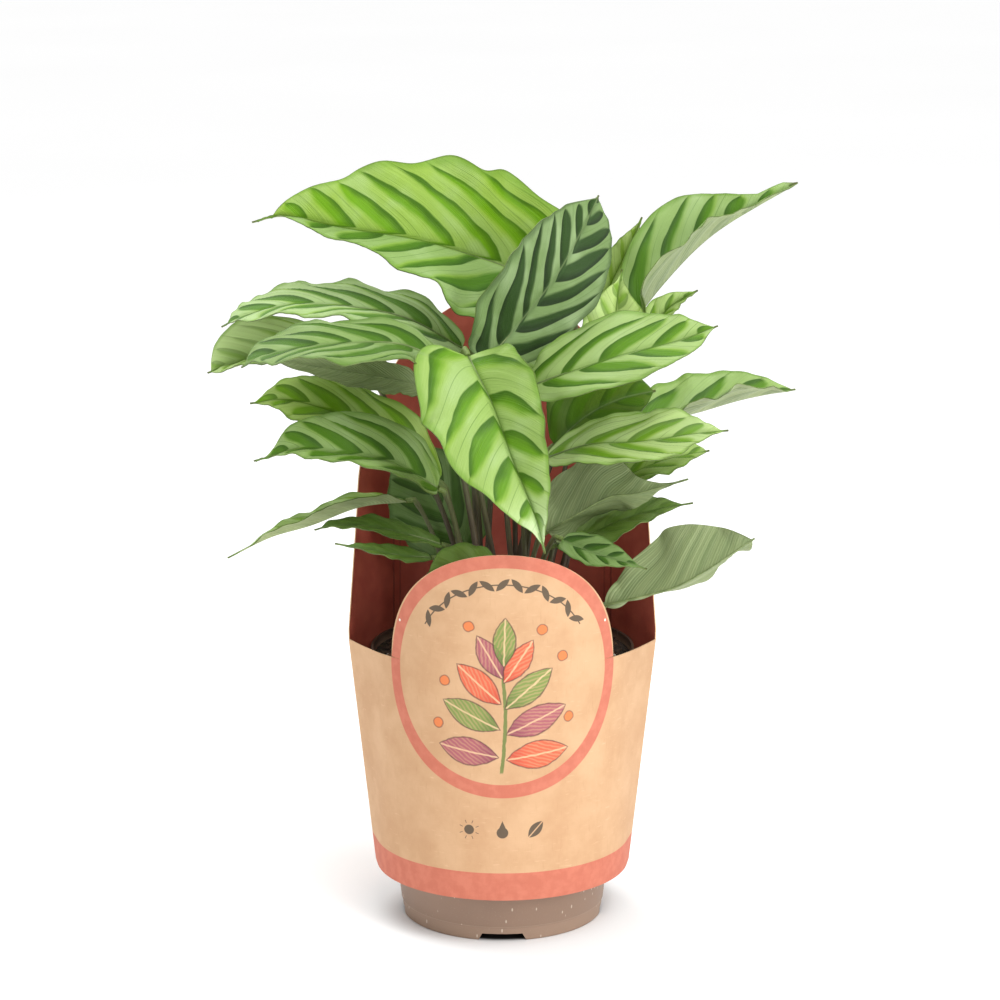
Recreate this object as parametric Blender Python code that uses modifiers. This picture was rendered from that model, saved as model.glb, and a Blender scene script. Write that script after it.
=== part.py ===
"""Potted calathea: a leafy plant in a plastic nursery pot, in a creased paper sleeve.

Run with: blender --background --python part.py
Lengths in this file are in millimetres and are turned into Blender's metres by MM.
The front of the plant looks along -Y, and the pot stands on z = 0.
"""
import math

import bmesh
import bpy
import numpy as np
from mathutils import Vector, noise

MM = 0.001

POT_HEIGHT = 118.0
FOOT_RADIUS = 43.2
FOOT_RING_HEIGHT = 6.0
FOOT_STEP = 0.7
BODY_TOP_RADIUS = 54.6
RIM_RADIUS = 56.3
RIM_HEIGHT = 13.0
RIM_SLOPE = 1.5
POT_WALL = 1.3
POT_EDGE = 0.4
FLOOR_HEIGHT = 4.5
POT_STEPS = 40
NOTCH_COUNT = 4
NOTCH_TOP_WIDTH = 17.0
NOTCH_BOTTOM_WIDTH = 21.5
NOTCH_HEIGHT = 3.0
NOTCH_INNER_REACH = 6.0
NOTCH_OUTER_REACH = 4.0
NOTCH_UNDERCUT = 1.0
DRAIN_COUNT = 6
DRAIN_RADIUS = 3.5
DRAIN_CIRCLE = 27.0
DRAIN_SIDES = 12
DRAIN_CUT = 8.0

SEAT_GAP = 0.3
SOIL_LEVEL = 115.0
SOIL_RINGS = (0, 12, 24, 36, 47)
SOIL_EDGE_DROP = 0.8
SOIL_BUMP = 1.6
SOIL_BUMP_SIZE = 14.0
HOLE_DEPTH = 9.0
HEX_FLAT = math.cos(math.pi / 6)

PAPER = 0.8
SLEEVE_BOTTOM = 22.0
SLEEVE_EDGE = 122.5
SLEEVE_BOTTOM_RADIUS = 53.8
SLEEVE_EDGE_RADIUS = 57.6
SLEEVE_BOTTOM_CORNER = 54.4
SLEEVE_EDGE_CORNER = 65.4
TAB_CENTRE = 119.5
TAB_RADIUS = 52.0
TAB_HALF_ANGLE = 52.5
TAB_COLUMNS = 14
TAB_SIDE_COLUMNS = 3
TAB_ROWS = 3
BACK_COLUMNS = 20
BAND_ROWS = 3
PANEL_ROWS = 8
PANEL_SHOULDER = 187.0
PANEL_SHOULDER_WIDTH = 61.6
PANEL_TOP = 259.0
PANEL_LEAN = 0.12
PANEL_FLATTEN = 0.45
PANEL_FLAT_RISE = 0.8
PANEL_STRAIGHT_SHARE = 0.45

BLADE_THICKNESS = 0.6
BLADE_END_WIDTH = 2.0
BLADE_STATION = 7.0
BLADE_STATIONS_MIN = 7
BLADE_STATIONS_MAX = 17
BLADE_WIDE = 30.0
BLADE_CELLS_WIDE = 6
BLADE_CELLS_NARROW = 4
BLADE_PEAK = 0.36
BLADE_ROUND = 0.66
BLADE_TAIL = 1.0
BLADE_DRIP = 0.02
BLADE_LOBE = 0.35
LOBE_FADE = 8
TWIST_FADE = 5
RIBBON_START = 0.6
RIBBON_FULL = 0.8
BLADE_FLAT_END = 0.12
BLADE_ARCH = 0.16
ARCH_DROP = 0.75
WAVE_HEIGHT = 0.07
WAVE_COUNT = 4.0
WAVE_SLANT = 0.45
WAVE_SPREAD = 1.6
WAVE_START = 1.3
WAVE_HALF_SHIFT = 2.4
LENGTH_SAMPLES = 24
STALK_POINTS = 6
STALK_THIN = 1.0
STALK_PER_WIDTH = 0.008
STALK_TAPER = 0.22
STALK_LAST_RUN = 4.0
STALK_START_PULL = 0.45
STALK_END_PULL = 0.3
STALK_END_GAP = 0.45
STALK_BLADE_SHARE = 0.4
STALK_CLEAR_RISE = 1.0
DARK_LEAVES = (2, 17, 18)
MERGE_DISTANCE = 0.01

# Each leaf: midrib points from the blade's base to its tip, width, tilt, fold, side and foot.
# Tilt turns the blade's left edge (seen on the way to the tip) towards the front, in degrees.
# Fold lifts both halves towards the front. Side is 1 where the upper face looks to the front
# and -1 where the underside does. Foot is where the stalk stands in the soil.
# The rest is given where a leaf differs from the usual. Waves counts the margin's waves. Peak is
# where the blade is widest, a larger tail narrows its far half, and drip is the length of its
# thread-like tip. Uneven makes the left half wider than the right. Lobe draws the margin back
# beside the stalk. Tip_tilt and tip_fold are the tilt and fold at the tip, and twist is a tilt
# that only the base has. Ribbon is the half width of a tip that stays broad.
LEAVES = {
    1: dict(midrib=[(26, 34, 260), (6, 27, 275), (-15, 21, 285), (-37, 14, 292), (-66, 2, 298),
                    (-90, -8, 305), (-102, -12, 302)], width=79, tilt=22, fold=8, side=1,
            foot=(2, 15), waves=5, peak=0.34, tail=0.5, drip=0.13, uneven=0.12, lobe=0.6,
            tip_tilt=36, tip_fold=44),
    2: dict(midrib=[(-6, -11, 244), (5, -9, 256), (22, -4, 277), (33.5, 4, 296),
                    (40.5, 10, 309.5)], width=46, tilt=28, fold=8, side=1, foot=(0, -1), peak=0.46,
            tail=0.25, lobe=0.6, uneven=0.16),
    3: dict(midrib=[(52, 18, 253), (66, 25, 268), (84, 32, 284), (99, 36, 298), (126, 38, 312)],
            width=54, tilt=-59, fold=44, side=1, foot=(18, 12), peak=0.36, tail=1.2, uneven=0.05,
            ribbon=3.0, drip=0.0, lobe=0.1),
    4: dict(midrib=[(43, 46, 258), (50, 46, 273), (56, 45, 286), (60, 46, 296)], width=16,
            tilt=-20, fold=40, side=1, foot=(20, 26)),
    5: dict(midrib=[(45, 10, 233), (47, 6, 249), (48, 4, 265), (50, 5, 279)], width=29, tilt=-3,
            fold=18, side=1, foot=(15, 3)),
    6: dict(midrib=[(-14, -32, 248.5), (-9, -42, 240.5), (-3, -50, 229), (4, -60, 211),
                    (13, -68, 190), (17, -72, 175)], width=53, tilt=17, fold=27, side=1,
            foot=(-7, -11), waves=4, lobe=0.6, twist=-45, uneven=-0.13),
    7: dict(midrib=[(11, -22, 234), (25, -31, 241), (48, -38, 250), (72, -42, 257),
                    (87, -43, 263)], width=38, tilt=-40, fold=5, side=1, foot=(6, -7), peak=0.46,
            tail=0.2, uneven=0.15),
    8: dict(midrib=[(-17, 14, 244), (-39, 10, 257), (-63, 6, 263), (-88, 0, 265), (-108, -6, 261),
                    (-117, -8, 257)], width=42, tilt=68, fold=5, side=1, foot=(-8, 3), waves=5,
            peak=0.42, tail=0.4, uneven=-0.12, twist=-22, drip=0.06),
    9: dict(midrib=[(-25, -10, 243), (-42, -23, 252), (-62, -41, 255.5), (-82, -50, 255),
                    (-97, -53, 252), (-105, -55, 248)], width=44, tilt=64, fold=5, side=1,
            foot=(-12, -3), waves=4.5, uneven=0.2, twist=-40, lobe=0.1, peak=0.46, tail=0.7),
    10: dict(midrib=[(-66, 13, 242), (-85, 11, 243), (-101, 8, 241.5), (-114, 4, 239),
                     (-124, 1, 236)], width=27, tilt=32, fold=34, side=1, foot=(-15, 11),
            drip=0.04, uneven=-0.3, peak=0.5, tail=0.3),
    11: dict(midrib=[(-27, -1, 190), (-44, -3, 209), (-70, -9, 221), (-90, -13, 226),
                     (-105, -15, 225)], width=38, tilt=48, fold=5, side=1, foot=(-13, 4),
            uneven=0.1, drip=0.02, peak=0.45, tail=0.3),
    12: dict(midrib=[(-27, -18, 190.5), (-46, -30, 204), (-67, -39, 209.5), (-83, -45, 212.5),
                     (-94, -47, 210), (-101, -49, 208.5)], width=33, tilt=48, fold=22, side=1,
            foot=(-17, -8), tail=1.8, uneven=-0.22, drip=0.06),
    13: dict(midrib=[(-41, 0, 181), (-60, -8, 180.5), (-80, -16, 174.5), (-97, -24, 172),
                     (-114, -32, 164)], width=17, tilt=80, fold=34, side=1, foot=(-22, 6),
            drip=0.1, tail=0.7, peak=0.42),
    14: dict(midrib=[(-26, -8, 164), (-39, -12, 169), (-55, -18, 174), (-70, -24, 176),
                     (-78, -28, 175)], width=17, tilt=66, fold=5, side=1, foot=(-23, -2)),
    15: dict(midrib=[(-30, -20, 161), (-43, -24, 163), (-55, -30, 167), (-69, -36, 171)], width=13,
            tilt=65, fold=5, side=1, foot=(-21, -14)),
    16: dict(midrib=[(-6, -28, 144), (-15, -34, 154), (-23, -38, 159), (-31, -40, 159)], width=32,
            tilt=5, fold=5, side=1, foot=(-4, -20), tail=0.2),
    17: dict(midrib=[(-16, 20, 156), (-28, 21, 175), (-39, 23, 190), (-50, 25, 202)], width=44,
            tilt=10, fold=8, side=1, foot=(-8, 13)),
    18: dict(midrib=[(22, -4, 206), (34, -6, 218), (48, -8, 226), (64, -8, 230)], width=42,
            tilt=-30, fold=8, side=1, foot=(9, 3), peak=0.5, tail=0.2),
    19: dict(midrib=[(53, 4, 211), (67, 8, 214), (84, 12, 216.5), (103, 16, 221), (125, 18, 226)],
            width=40, tilt=-62, fold=38, side=1, foot=(22, 7), peak=0.56, tail=0.1, uneven=-0.22),
    20: dict(midrib=[(18, -18, 203), (36, -28, 211), (57, -36, 214), (77, -41, 218),
                     (92, -43, 220)], width=35, tilt=-51, fold=5, side=1, foot=(12, -9), peak=0.5,
            tail=0.4),
    21: dict(midrib=[(33, -12, 187), (49, -16, 194), (66, -18, 202), (86, -20, 207)], width=30,
            tilt=-60, fold=5, side=1, foot=(17, -3), peak=0.6, tail=0.1),
    22: dict(midrib=[(19, -22, 173), (32, -28, 182), (44, -34, 190), (56, -38, 193),
                     (76, -42, 196.5)], width=40, tilt=25, fold=-50, side=-1, foot=(10, -16),
            drip=0.05, tip_fold=-25),
    23: dict(midrib=[(23, -13.5, 165), (37, -15, 170.5), (51, -18, 177.5), (65, -22, 182.5),
                     (79, -26, 186)], width=29, tilt=-57, fold=3, side=1, foot=(18, -11),
            peak=0.44, tail=0.6, drip=0.06),
    24: dict(midrib=[(43, -30, 143), (57, -36, 148), (72, -42, 154), (87, -46, 164),
                     (103, -48, 176)], width=45, tilt=33, fold=-50, side=-1, foot=(25, -18),
            peak=0.58, tail=0.05, uneven=-0.05),
    25: dict(midrib=[(25, -34, 172), (36, -42, 169), (47, -48, 167), (59, -52, 164)], width=18,
            tilt=-30, fold=10, side=1, foot=(14, -23)),
    26: dict(midrib=[(59, 8, 246), (64, 8, 255), (71, 8, 263), (82, 8, 270)], width=15, tilt=-30,
            fold=30, side=1, foot=(24, 14), peak=0.45, tail=0.5),
    27: dict(midrib=[(-26, 6, 226), (-42, 1, 233), (-60, -8, 238), (-86, -20, 244)], width=24,
            tilt=40, fold=10, side=-1, foot=(-9, 9), peak=0.4),
    28: dict(midrib=[(10, 38, 235), (20, 50, 262), (27, 60, 280), (30, 69, 292)], width=34, tilt=0,
            fold=12, side=1, foot=(6, 27)),
}

FRONT = np.array([0.0, -0.977, 0.214])


def clear_scene():
    for thing in list(bpy.data.objects):
        bpy.data.objects.remove(thing, do_unlink=True)


def new_collection(name):
    collection = bpy.data.collections.new(name)
    bpy.context.scene.collection.children.link(collection)
    return collection


def new_material(name, colour, roughness, metallic=0.0):
    material = bpy.data.materials.new(name)
    material.use_nodes = True
    shader = material.node_tree.nodes["Principled BSDF"]
    shader.inputs["Base Color"].default_value = (*colour, 1.0)
    shader.inputs["Roughness"].default_value = roughness
    shader.inputs["Metallic"].default_value = metallic
    material.diffuse_color = (*colour, 1.0)
    return material


def add_object(name, data, collection, material=None, smooth=False):
    thing = bpy.data.objects.new(name, data)
    collection.objects.link(thing)
    if material:
        data.materials.append(material)
    if smooth and isinstance(data, bpy.types.Mesh):
        data.polygons.foreach_set("use_smooth", [True] * len(data.polygons))
    return thing


def settled_copy(thing, name, collection, material, smooth=False):
    """The evaluated object as a plain mesh object; the one it was made from goes."""
    evaluated = thing.evaluated_get(bpy.context.evaluated_depsgraph_get())
    mesh = bpy.data.meshes.new_from_object(evaluated)
    mesh.materials.clear()
    bpy.data.objects.remove(thing, do_unlink=True)
    return add_object(name, mesh, collection, material, smooth)


def turned(name, profile, steps, collection, material=None):
    """A turned body from (radius, height) points that run down the outer side."""
    mesh = bpy.data.meshes.new(name)
    points = [(radius * MM, 0.0, height * MM) for radius, height in profile]
    mesh.from_pydata(points, [(i, i + 1) for i in range(len(points) - 1)], [])
    thing = add_object(name, mesh, collection, material)
    screw = thing.modifiers.new("Turn", "SCREW")
    screw.axis = "Z"
    screw.steps = steps
    screw.render_steps = steps
    screw.use_smooth_shade = True
    screw.use_merge_vertices = True
    screw.merge_threshold = 0.0001
    return thing


def cut(thing, cutter, name):
    boolean = thing.modifiers.new(name, "BOOLEAN")
    boolean.operation = "DIFFERENCE"
    boolean.object = cutter


def cutter_object(name, bm, collection):
    mesh = bpy.data.meshes.new(name)
    bm.to_mesh(mesh)
    bm.free()
    cutter = add_object(name, mesh, collection)
    cutter.hide_render = True
    cutter.display_type = "WIRE"
    return cutter


def pot_wall_radius(height):
    """Outer radius of the pot's body under its rim."""
    run = (height - FOOT_RING_HEIGHT) / (POT_HEIGHT - RIM_HEIGHT - FOOT_RING_HEIGHT)
    bottom = FOOT_RADIUS + FOOT_STEP
    return bottom + (BODY_TOP_RADIUS - bottom) * min(max(run, 0.0), 1.0)


def build_pot(collection, cutters, material):
    rim_inner = RIM_RADIUS - POT_WALL
    body_top = POT_HEIGHT - RIM_HEIGHT
    ring_inner = FOOT_RADIUS - POT_WALL - POT_EDGE
    profile = [
        (0.0, FLOOR_HEIGHT + POT_WALL),
        (pot_wall_radius(FLOOR_HEIGHT) - POT_WALL, FLOOR_HEIGHT + POT_WALL),
        (BODY_TOP_RADIUS - POT_WALL, body_top),
        (rim_inner, body_top + RIM_SLOPE),
        (rim_inner, POT_HEIGHT - POT_EDGE),
        (rim_inner + POT_EDGE, POT_HEIGHT),
        (RIM_RADIUS - POT_EDGE, POT_HEIGHT),
        (RIM_RADIUS, POT_HEIGHT - POT_EDGE),
        (RIM_RADIUS, body_top + POT_EDGE),
        (RIM_RADIUS - POT_EDGE, body_top),
        (BODY_TOP_RADIUS, body_top),
        (FOOT_RADIUS + FOOT_STEP, FOOT_RING_HEIGHT + POT_EDGE),
        (FOOT_RADIUS, FOOT_RING_HEIGHT),
        (FOOT_RADIUS, POT_EDGE),
        (FOOT_RADIUS - POT_EDGE, 0.0),
        (ring_inner, 0.0),
        (ring_inner, FLOOR_HEIGHT - POT_EDGE),
        (ring_inner - POT_EDGE, FLOOR_HEIGHT),
        (0.0, FLOOR_HEIGHT),
    ]
    pot = turned("pot", profile, POT_STEPS, collection, material)

    notches = bmesh.new()
    for index in range(NOTCH_COUNT):
        made = bmesh.ops.create_cube(notches, size=1.0)["verts"]
        turn = math.tau * index / NOTCH_COUNT
        for vert in made:
            low = vert.co.z < 0
            width = NOTCH_BOTTOM_WIDTH if low else NOTCH_TOP_WIDTH
            reach = -NOTCH_INNER_REACH if vert.co.x < 0 else NOTCH_OUTER_REACH
            along = FOOT_RADIUS + reach
            height = -NOTCH_UNDERCUT if low else NOTCH_HEIGHT
            across = math.copysign(width / 2, vert.co.y)
            vert.co = Vector((along * math.cos(turn) - across * math.sin(turn),
                              along * math.sin(turn) + across * math.cos(turn), height)) * MM
    cut(pot, cutter_object("foot_notch_cutter", notches, cutters), "Foot notches")

    drains = bmesh.new()
    for index in range(DRAIN_COUNT):
        turn = math.tau * (index + 0.5) / DRAIN_COUNT
        made = bmesh.ops.create_cone(
            drains, cap_ends=True, segments=DRAIN_SIDES, depth=DRAIN_CUT * MM,
            radius1=DRAIN_RADIUS * MM, radius2=DRAIN_RADIUS * MM)["verts"]
        centre = Vector((math.cos(turn), math.sin(turn), 0)) * DRAIN_CIRCLE * MM
        bmesh.ops.translate(drains, verts=made,
                            vec=centre + Vector((0, 0, FLOOR_HEIGHT * MM)))
    cut(pot, cutter_object("drain_cutter", drains, cutters), "Drain holes")
    return pot


def build_soil(collection, cutters, material):
    wall = POT_WALL + SEAT_GAP
    bottom = FLOOR_HEIGHT + POT_WALL + SEAT_GAP
    top_radius = RIM_RADIUS - wall
    body_top = POT_HEIGHT - RIM_HEIGHT
    profile = [(radius, SOIL_LEVEL) for radius in SOIL_RINGS]
    profile += [
        (top_radius, SOIL_LEVEL - SOIL_EDGE_DROP),
        (top_radius, body_top + RIM_SLOPE + SEAT_GAP),
        (BODY_TOP_RADIUS - wall, body_top),
        (pot_wall_radius(bottom) - wall, bottom),
        (0.0, bottom),
    ]
    raw = turned("soil_blank", profile, POT_STEPS, collection)
    soil = settled_copy(raw, "soil", collection, material)
    for vert in soil.data.vertices:
        if vert.co.z > (SOIL_LEVEL - SOIL_EDGE_DROP / 2) * MM:
            vert.co.z += SOIL_BUMP * MM * noise.noise(vert.co / (SOIL_BUMP_SIZE * MM))

    holes = bmesh.new()
    for leaf in LEAVES.values():
        radius = stalk_radius(leaf) + SEAT_GAP
        made = bmesh.ops.create_cone(
            holes, cap_ends=True, segments=6, depth=2 * HOLE_DEPTH * MM,
            radius1=radius / HEX_FLAT * MM, radius2=radius / HEX_FLAT * MM)["verts"]
        foot = Vector((leaf["foot"][0], leaf["foot"][1], SOIL_LEVEL)) * MM
        bmesh.ops.translate(holes, verts=made, vec=foot)
    cut(soil, cutter_object("stalk_hole_cutter", holes, cutters), "Stalk holes")
    return soil


def sleeve_radius(height):
    run = (height - SLEEVE_BOTTOM) / (SLEEVE_EDGE - SLEEVE_BOTTOM)
    return SLEEVE_BOTTOM_RADIUS + (SLEEVE_EDGE_RADIUS - SLEEVE_BOTTOM_RADIUS) * run


def sleeve_corner(height):
    run = (height - SLEEVE_BOTTOM) / (SLEEVE_EDGE - SLEEVE_BOTTOM)
    return SLEEVE_BOTTOM_CORNER + (SLEEVE_EDGE_CORNER - SLEEVE_BOTTOM_CORNER) * run


def sleeve_section(turn, height):
    """Paper drawn round a circle and creased at its two sides; turn is from +X, in radians."""
    circle = sleeve_radius(height)
    contact = math.acos(min(circle / sleeve_corner(height), 1.0))
    from_side = math.asin(min(abs(math.sin(turn)), 1.0))
    reach = circle / math.cos(max(contact - from_side, 0.0))
    return reach * math.cos(turn), reach * math.sin(turn)


def front_turns():
    """Column angles over the front, closer together at the tab's two ends."""
    half = math.radians(TAB_HALF_ANGLE)
    steps = TAB_COLUMNS // 2
    tab = [half * math.sin(math.pi / 2 * step / steps) for step in range(-steps, steps + 1)]
    side = [half + (math.pi / 2 - half) * step / TAB_SIDE_COLUMNS
            for step in range(1, TAB_SIDE_COLUMNS + 1)]
    offsets = [-turn for turn in reversed(side)] + tab + side
    return [-math.pi / 2 + offset for offset in offsets]


def patch(bm, columns, rows, place):
    """A grid of columns by rows whose points are moved to place(column, row)."""
    made = bmesh.ops.create_grid(bm, x_segments=columns, y_segments=rows, size=0.5)["verts"]
    for vert in made:
        column = round((vert.co.x + 0.5) * columns)
        row = round((vert.co.y + 0.5) * rows)
        vert.co = Vector(place(column, row)) * MM


def back_panel_point(turn, rise):
    """The tall panel: straight sides up to the shoulder, then a rounded arch."""
    straight = PANEL_STRAIGHT_SHARE
    if rise < straight:
        height = SLEEVE_EDGE + (PANEL_SHOULDER - SLEEVE_EDGE) * rise / straight
        narrow = (height - SLEEVE_EDGE) / (PANEL_SHOULDER - SLEEVE_EDGE)
        width = SLEEVE_EDGE_CORNER + (PANEL_SHOULDER_WIDTH - SLEEVE_EDGE_CORNER) * narrow
    else:
        arch = (rise - straight) / (1 - straight) * math.pi / 2
        height = PANEL_SHOULDER + (PANEL_TOP - PANEL_SHOULDER) * math.sin(arch)
        width = PANEL_SHOULDER_WIDTH * math.cos(arch)
    x = sleeve_section(turn, SLEEVE_EDGE)[0] * width / SLEEVE_EDGE_CORNER
    circle = sleeve_radius(SLEEVE_EDGE)
    contact = circle * circle / SLEEVE_EDGE_CORNER
    contact_y = math.sqrt(circle ** 2 - contact ** 2)
    if abs(x) > contact:
        y = contact_y * (SLEEVE_EDGE_CORNER - abs(x)) / (SLEEVE_EDGE_CORNER - contact)
    else:
        flatten = PANEL_FLATTEN * (height - SLEEVE_EDGE) / (PANEL_TOP - SLEEVE_EDGE)
        round_y = math.sqrt(circle ** 2 - x ** 2)
        flat_y = contact_y + (circle - contact_y) * (1 - (x / contact) ** 2) * PANEL_FLAT_RISE
        y = round_y + (flat_y - round_y) * flatten
    return x, y + PANEL_LEAN * (height - SLEEVE_EDGE), height


def build_sleeve(collection, material):
    front = front_turns()
    back = [math.pi * step / BACK_COLUMNS for step in range(BACK_COLUMNS + 1)]
    bm = bmesh.new()

    def band(turns):
        def place(column, row):
            height = SLEEVE_BOTTOM + (SLEEVE_EDGE - SLEEVE_BOTTOM) * row / BAND_ROWS
            return (*sleeve_section(turns[column], height), height)
        return place

    patch(bm, len(front) - 1, BAND_ROWS, band(front))
    patch(bm, BACK_COLUMNS, BAND_ROWS, band(back))

    tab = front[TAB_SIDE_COLUMNS:-TAB_SIDE_COLUMNS]

    def tab_place(column, row):
        offset = (tab[column] + math.pi / 2) / math.radians(TAB_HALF_ANGLE)
        arch = TAB_CENTRE + TAB_RADIUS * math.sqrt(max(1 - offset ** 2, 0.0))
        height = SLEEVE_EDGE + max(arch - SLEEVE_EDGE, 0.0) * row / TAB_ROWS
        return (*sleeve_section(tab[column], height), height)

    patch(bm, TAB_COLUMNS, TAB_ROWS, tab_place)

    def panel_place(column, row):
        return back_panel_point(back[column], row / PANEL_ROWS)

    patch(bm, BACK_COLUMNS, PANEL_ROWS, panel_place)
    bmesh.ops.remove_doubles(bm, verts=bm.verts, dist=MERGE_DISTANCE * MM)
    bmesh.ops.recalc_face_normals(bm, faces=bm.faces)
    outward = max(bm.faces, key=lambda face: -face.calc_center_median().y)
    if outward.normal.y > 0:
        bmesh.ops.reverse_faces(bm, faces=bm.faces)
    bmesh.ops.triangulate(bm, faces=bm.faces)
    mesh = bpy.data.meshes.new("sleeve")
    bm.to_mesh(mesh)
    bm.free()
    sleeve = add_object("sleeve", mesh, collection, material, smooth=True)
    wall = sleeve.modifiers.new("Paper", "SOLIDIFY")
    wall.thickness = PAPER * MM
    wall.offset = 1.0
    return sleeve


def midrib_curve(points):
    """Catmull-Rom through the midrib's points: gives place and direction at 0 to 1."""
    knots = np.array(points, float)
    knots = np.vstack([2 * knots[0] - knots[1], knots, 2 * knots[-1] - knots[-2]])
    spans = len(points) - 1

    def at(run):
        scaled = min(max(run, 0.0), 1.0) * spans
        index = min(int(scaled), spans - 1)
        u = scaled - index
        a, b, c, d = knots[index:index + 4]
        place = 0.5 * (2 * b + (c - a) * u + (2 * a - 5 * b + 4 * c - d) * u ** 2
                       + (3 * b - a - 3 * c + d) * u ** 3)
        way = 0.5 * ((c - a) + 2 * (2 * a - 5 * b + 4 * c - d) * u
                     + 3 * (3 * b - a - 3 * c + d) * u ** 2)
        return place, way / np.linalg.norm(way)
    return at


def blade_outline(leaf, run):
    """Half width as a part of the greatest: round at the base, drawn out at the tip."""
    broad = run / (1 - leaf.get("drip", BLADE_DRIP))
    if not 0 < broad < 1:
        return 0.0
    peak = leaf.get("peak", BLADE_PEAK)
    swell = math.sin(math.pi * broad ** (math.log(0.5) / math.log(peak)))
    return swell ** (BLADE_ROUND + leaf.get("tail", BLADE_TAIL) * run ** 2)


def ribbon_half(leaf, run):
    """Half width of a tip that stays broad, growing in from where the ribbon starts."""
    step = min(max((run - RIBBON_START) / (RIBBON_FULL - RIBBON_START), 0.0), 1.0)
    return leaf.get("ribbon", 0.0) * step * step * (3 - 2 * step)


def blade_length(leaf):
    at = midrib_curve(leaf["midrib"])
    places = np.array([at(step / LENGTH_SAMPLES)[0] for step in range(LENGTH_SAMPLES + 1)])
    return np.linalg.norm(np.diff(places, axis=0), axis=1).sum()


def blade_point(leaf, at, run, across):
    """A point of the waved blade; across is -1 at the right edge and 1 at the left."""
    place, way = at(run)
    to_front = FRONT - way * FRONT.dot(way)
    to_front /= np.linalg.norm(to_front)
    to_left = np.cross(to_front, way)
    ends = min(run / BLADE_FLAT_END, (1 - run) / BLADE_FLAT_END, 1.0)
    sign = 1.0 if across >= 0 else -1.0
    uneven = sign * leaf.get("uneven", 0.0)
    full_half = leaf["width"] / 2 * blade_outline(leaf, run) * (1 + uneven * (1 - run))
    half = max(full_half, ribbon_half(leaf, run), BLADE_END_WIDTH / 2)
    tilt = leaf["tilt"] * (1 - run) + leaf.get("tip_tilt", leaf["tilt"]) * run
    tilt += leaf.get("twist", 0.0) * (1 - run) ** TWIST_FADE
    fold = leaf["fold"] * (1 - run) + leaf.get("tip_fold", leaf["fold"]) * run
    lift = math.radians(fold * ends + sign * tilt)
    outward = sign * math.cos(lift) * to_left + math.sin(lift) * to_front
    normal = -sign * math.sin(lift) * to_left + math.cos(lift) * to_front
    reach = abs(across)
    waves = leaf.get("waves", WAVE_COUNT)
    phase = WAVE_START * leaf["foot"][0] + (0 if sign > 0 else WAVE_HALF_SHIFT)
    wave = WAVE_HEIGHT * math.sin(math.tau * (waves * run - WAVE_SLANT * reach) + phase)
    arch = BLADE_ARCH * leaf["side"] * reach * (1 - ARCH_DROP * reach)
    lobe = leaf.get("lobe", BLADE_LOBE) * full_half * reach ** 2 * (1 - run) ** LOBE_FADE
    blade = half * (reach * outward + (wave * reach ** WAVE_SPREAD + arch) * normal)
    return place + blade - way * lobe * (1 + 2 * uneven)


def build_blade(name, leaf, collection, material):
    at = midrib_curve(leaf["midrib"])
    stations = round(blade_length(leaf) / BLADE_STATION)
    stations = min(max(stations, BLADE_STATIONS_MIN), BLADE_STATIONS_MAX)
    cells = BLADE_CELLS_WIDE if leaf["width"] > BLADE_WIDE else BLADE_CELLS_NARROW
    bm = bmesh.new()
    bmesh.ops.create_grid(bm, x_segments=stations, y_segments=cells, size=1.0)
    bmesh.ops.triangulate(bm, faces=bm.faces, quad_method="FIXED")
    for vert in bm.verts:
        run = (vert.co.x + 1) / 2
        vert.co = Vector(blade_point(leaf, at, run, round(vert.co.y, 6))) * MM
    mesh = bpy.data.meshes.new(name)
    bm.to_mesh(mesh)
    bm.free()
    blade = add_object(name, mesh, collection, material, smooth=True)
    body = blade.modifiers.new("Blade body", "SOLIDIFY")
    body.thickness = BLADE_THICKNESS * MM
    body.offset = 0.0
    return blade


def stalk_radius(leaf):
    return STALK_THIN + STALK_PER_WIDTH * leaf["width"]


def stalk_route(leaf):
    """Points from inside the soil hole up to the blade's base."""
    base, way = midrib_curve(leaf["midrib"])(0.0)
    up = np.array([0.0, 0.0, 1.0])
    end = base - way * STALK_END_GAP
    near = base - way * STALK_LAST_RUN
    foot = np.array([*leaf["foot"], SOIL_LEVEL - HOLE_DEPTH + 2 * SEAT_GAP])
    rise = near[2] - foot[2]
    start_pull = foot + up * STALK_START_PULL * rise
    pull = STALK_BLADE_SHARE * way + (1 - STALK_BLADE_SHARE) * up
    end_pull = near - pull / np.linalg.norm(pull) * STALK_END_PULL * rise
    straight = foot + up * (HOLE_DEPTH + STALK_CLEAR_RISE)
    points = [foot, straight]
    for step in range(1, STALK_POINTS):
        u = step / (STALK_POINTS - 1)
        points.append((1 - u) ** 3 * straight + 3 * (1 - u) ** 2 * u * start_pull
                      + 3 * (1 - u) * u ** 2 * end_pull + u ** 3 * near)
    points.append(end)
    return points


def build_stalk(name, leaf, collection, material):
    curve = bpy.data.curves.new(name, "CURVE")
    curve.dimensions = "3D"
    curve.bevel_depth = stalk_radius(leaf) * MM
    curve.bevel_resolution = 2
    curve.use_fill_caps = True
    route = stalk_route(leaf)
    spline = curve.splines.new("POLY")
    spline.points.add(len(route) - 1)
    for index, (point, place) in enumerate(zip(spline.points, route)):
        point.co = (*(place * MM), 1.0)
        point.radius = 1.0 - STALK_TAPER * index / (len(route) - 1)
    return add_object(name, curve, collection, material)


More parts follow.
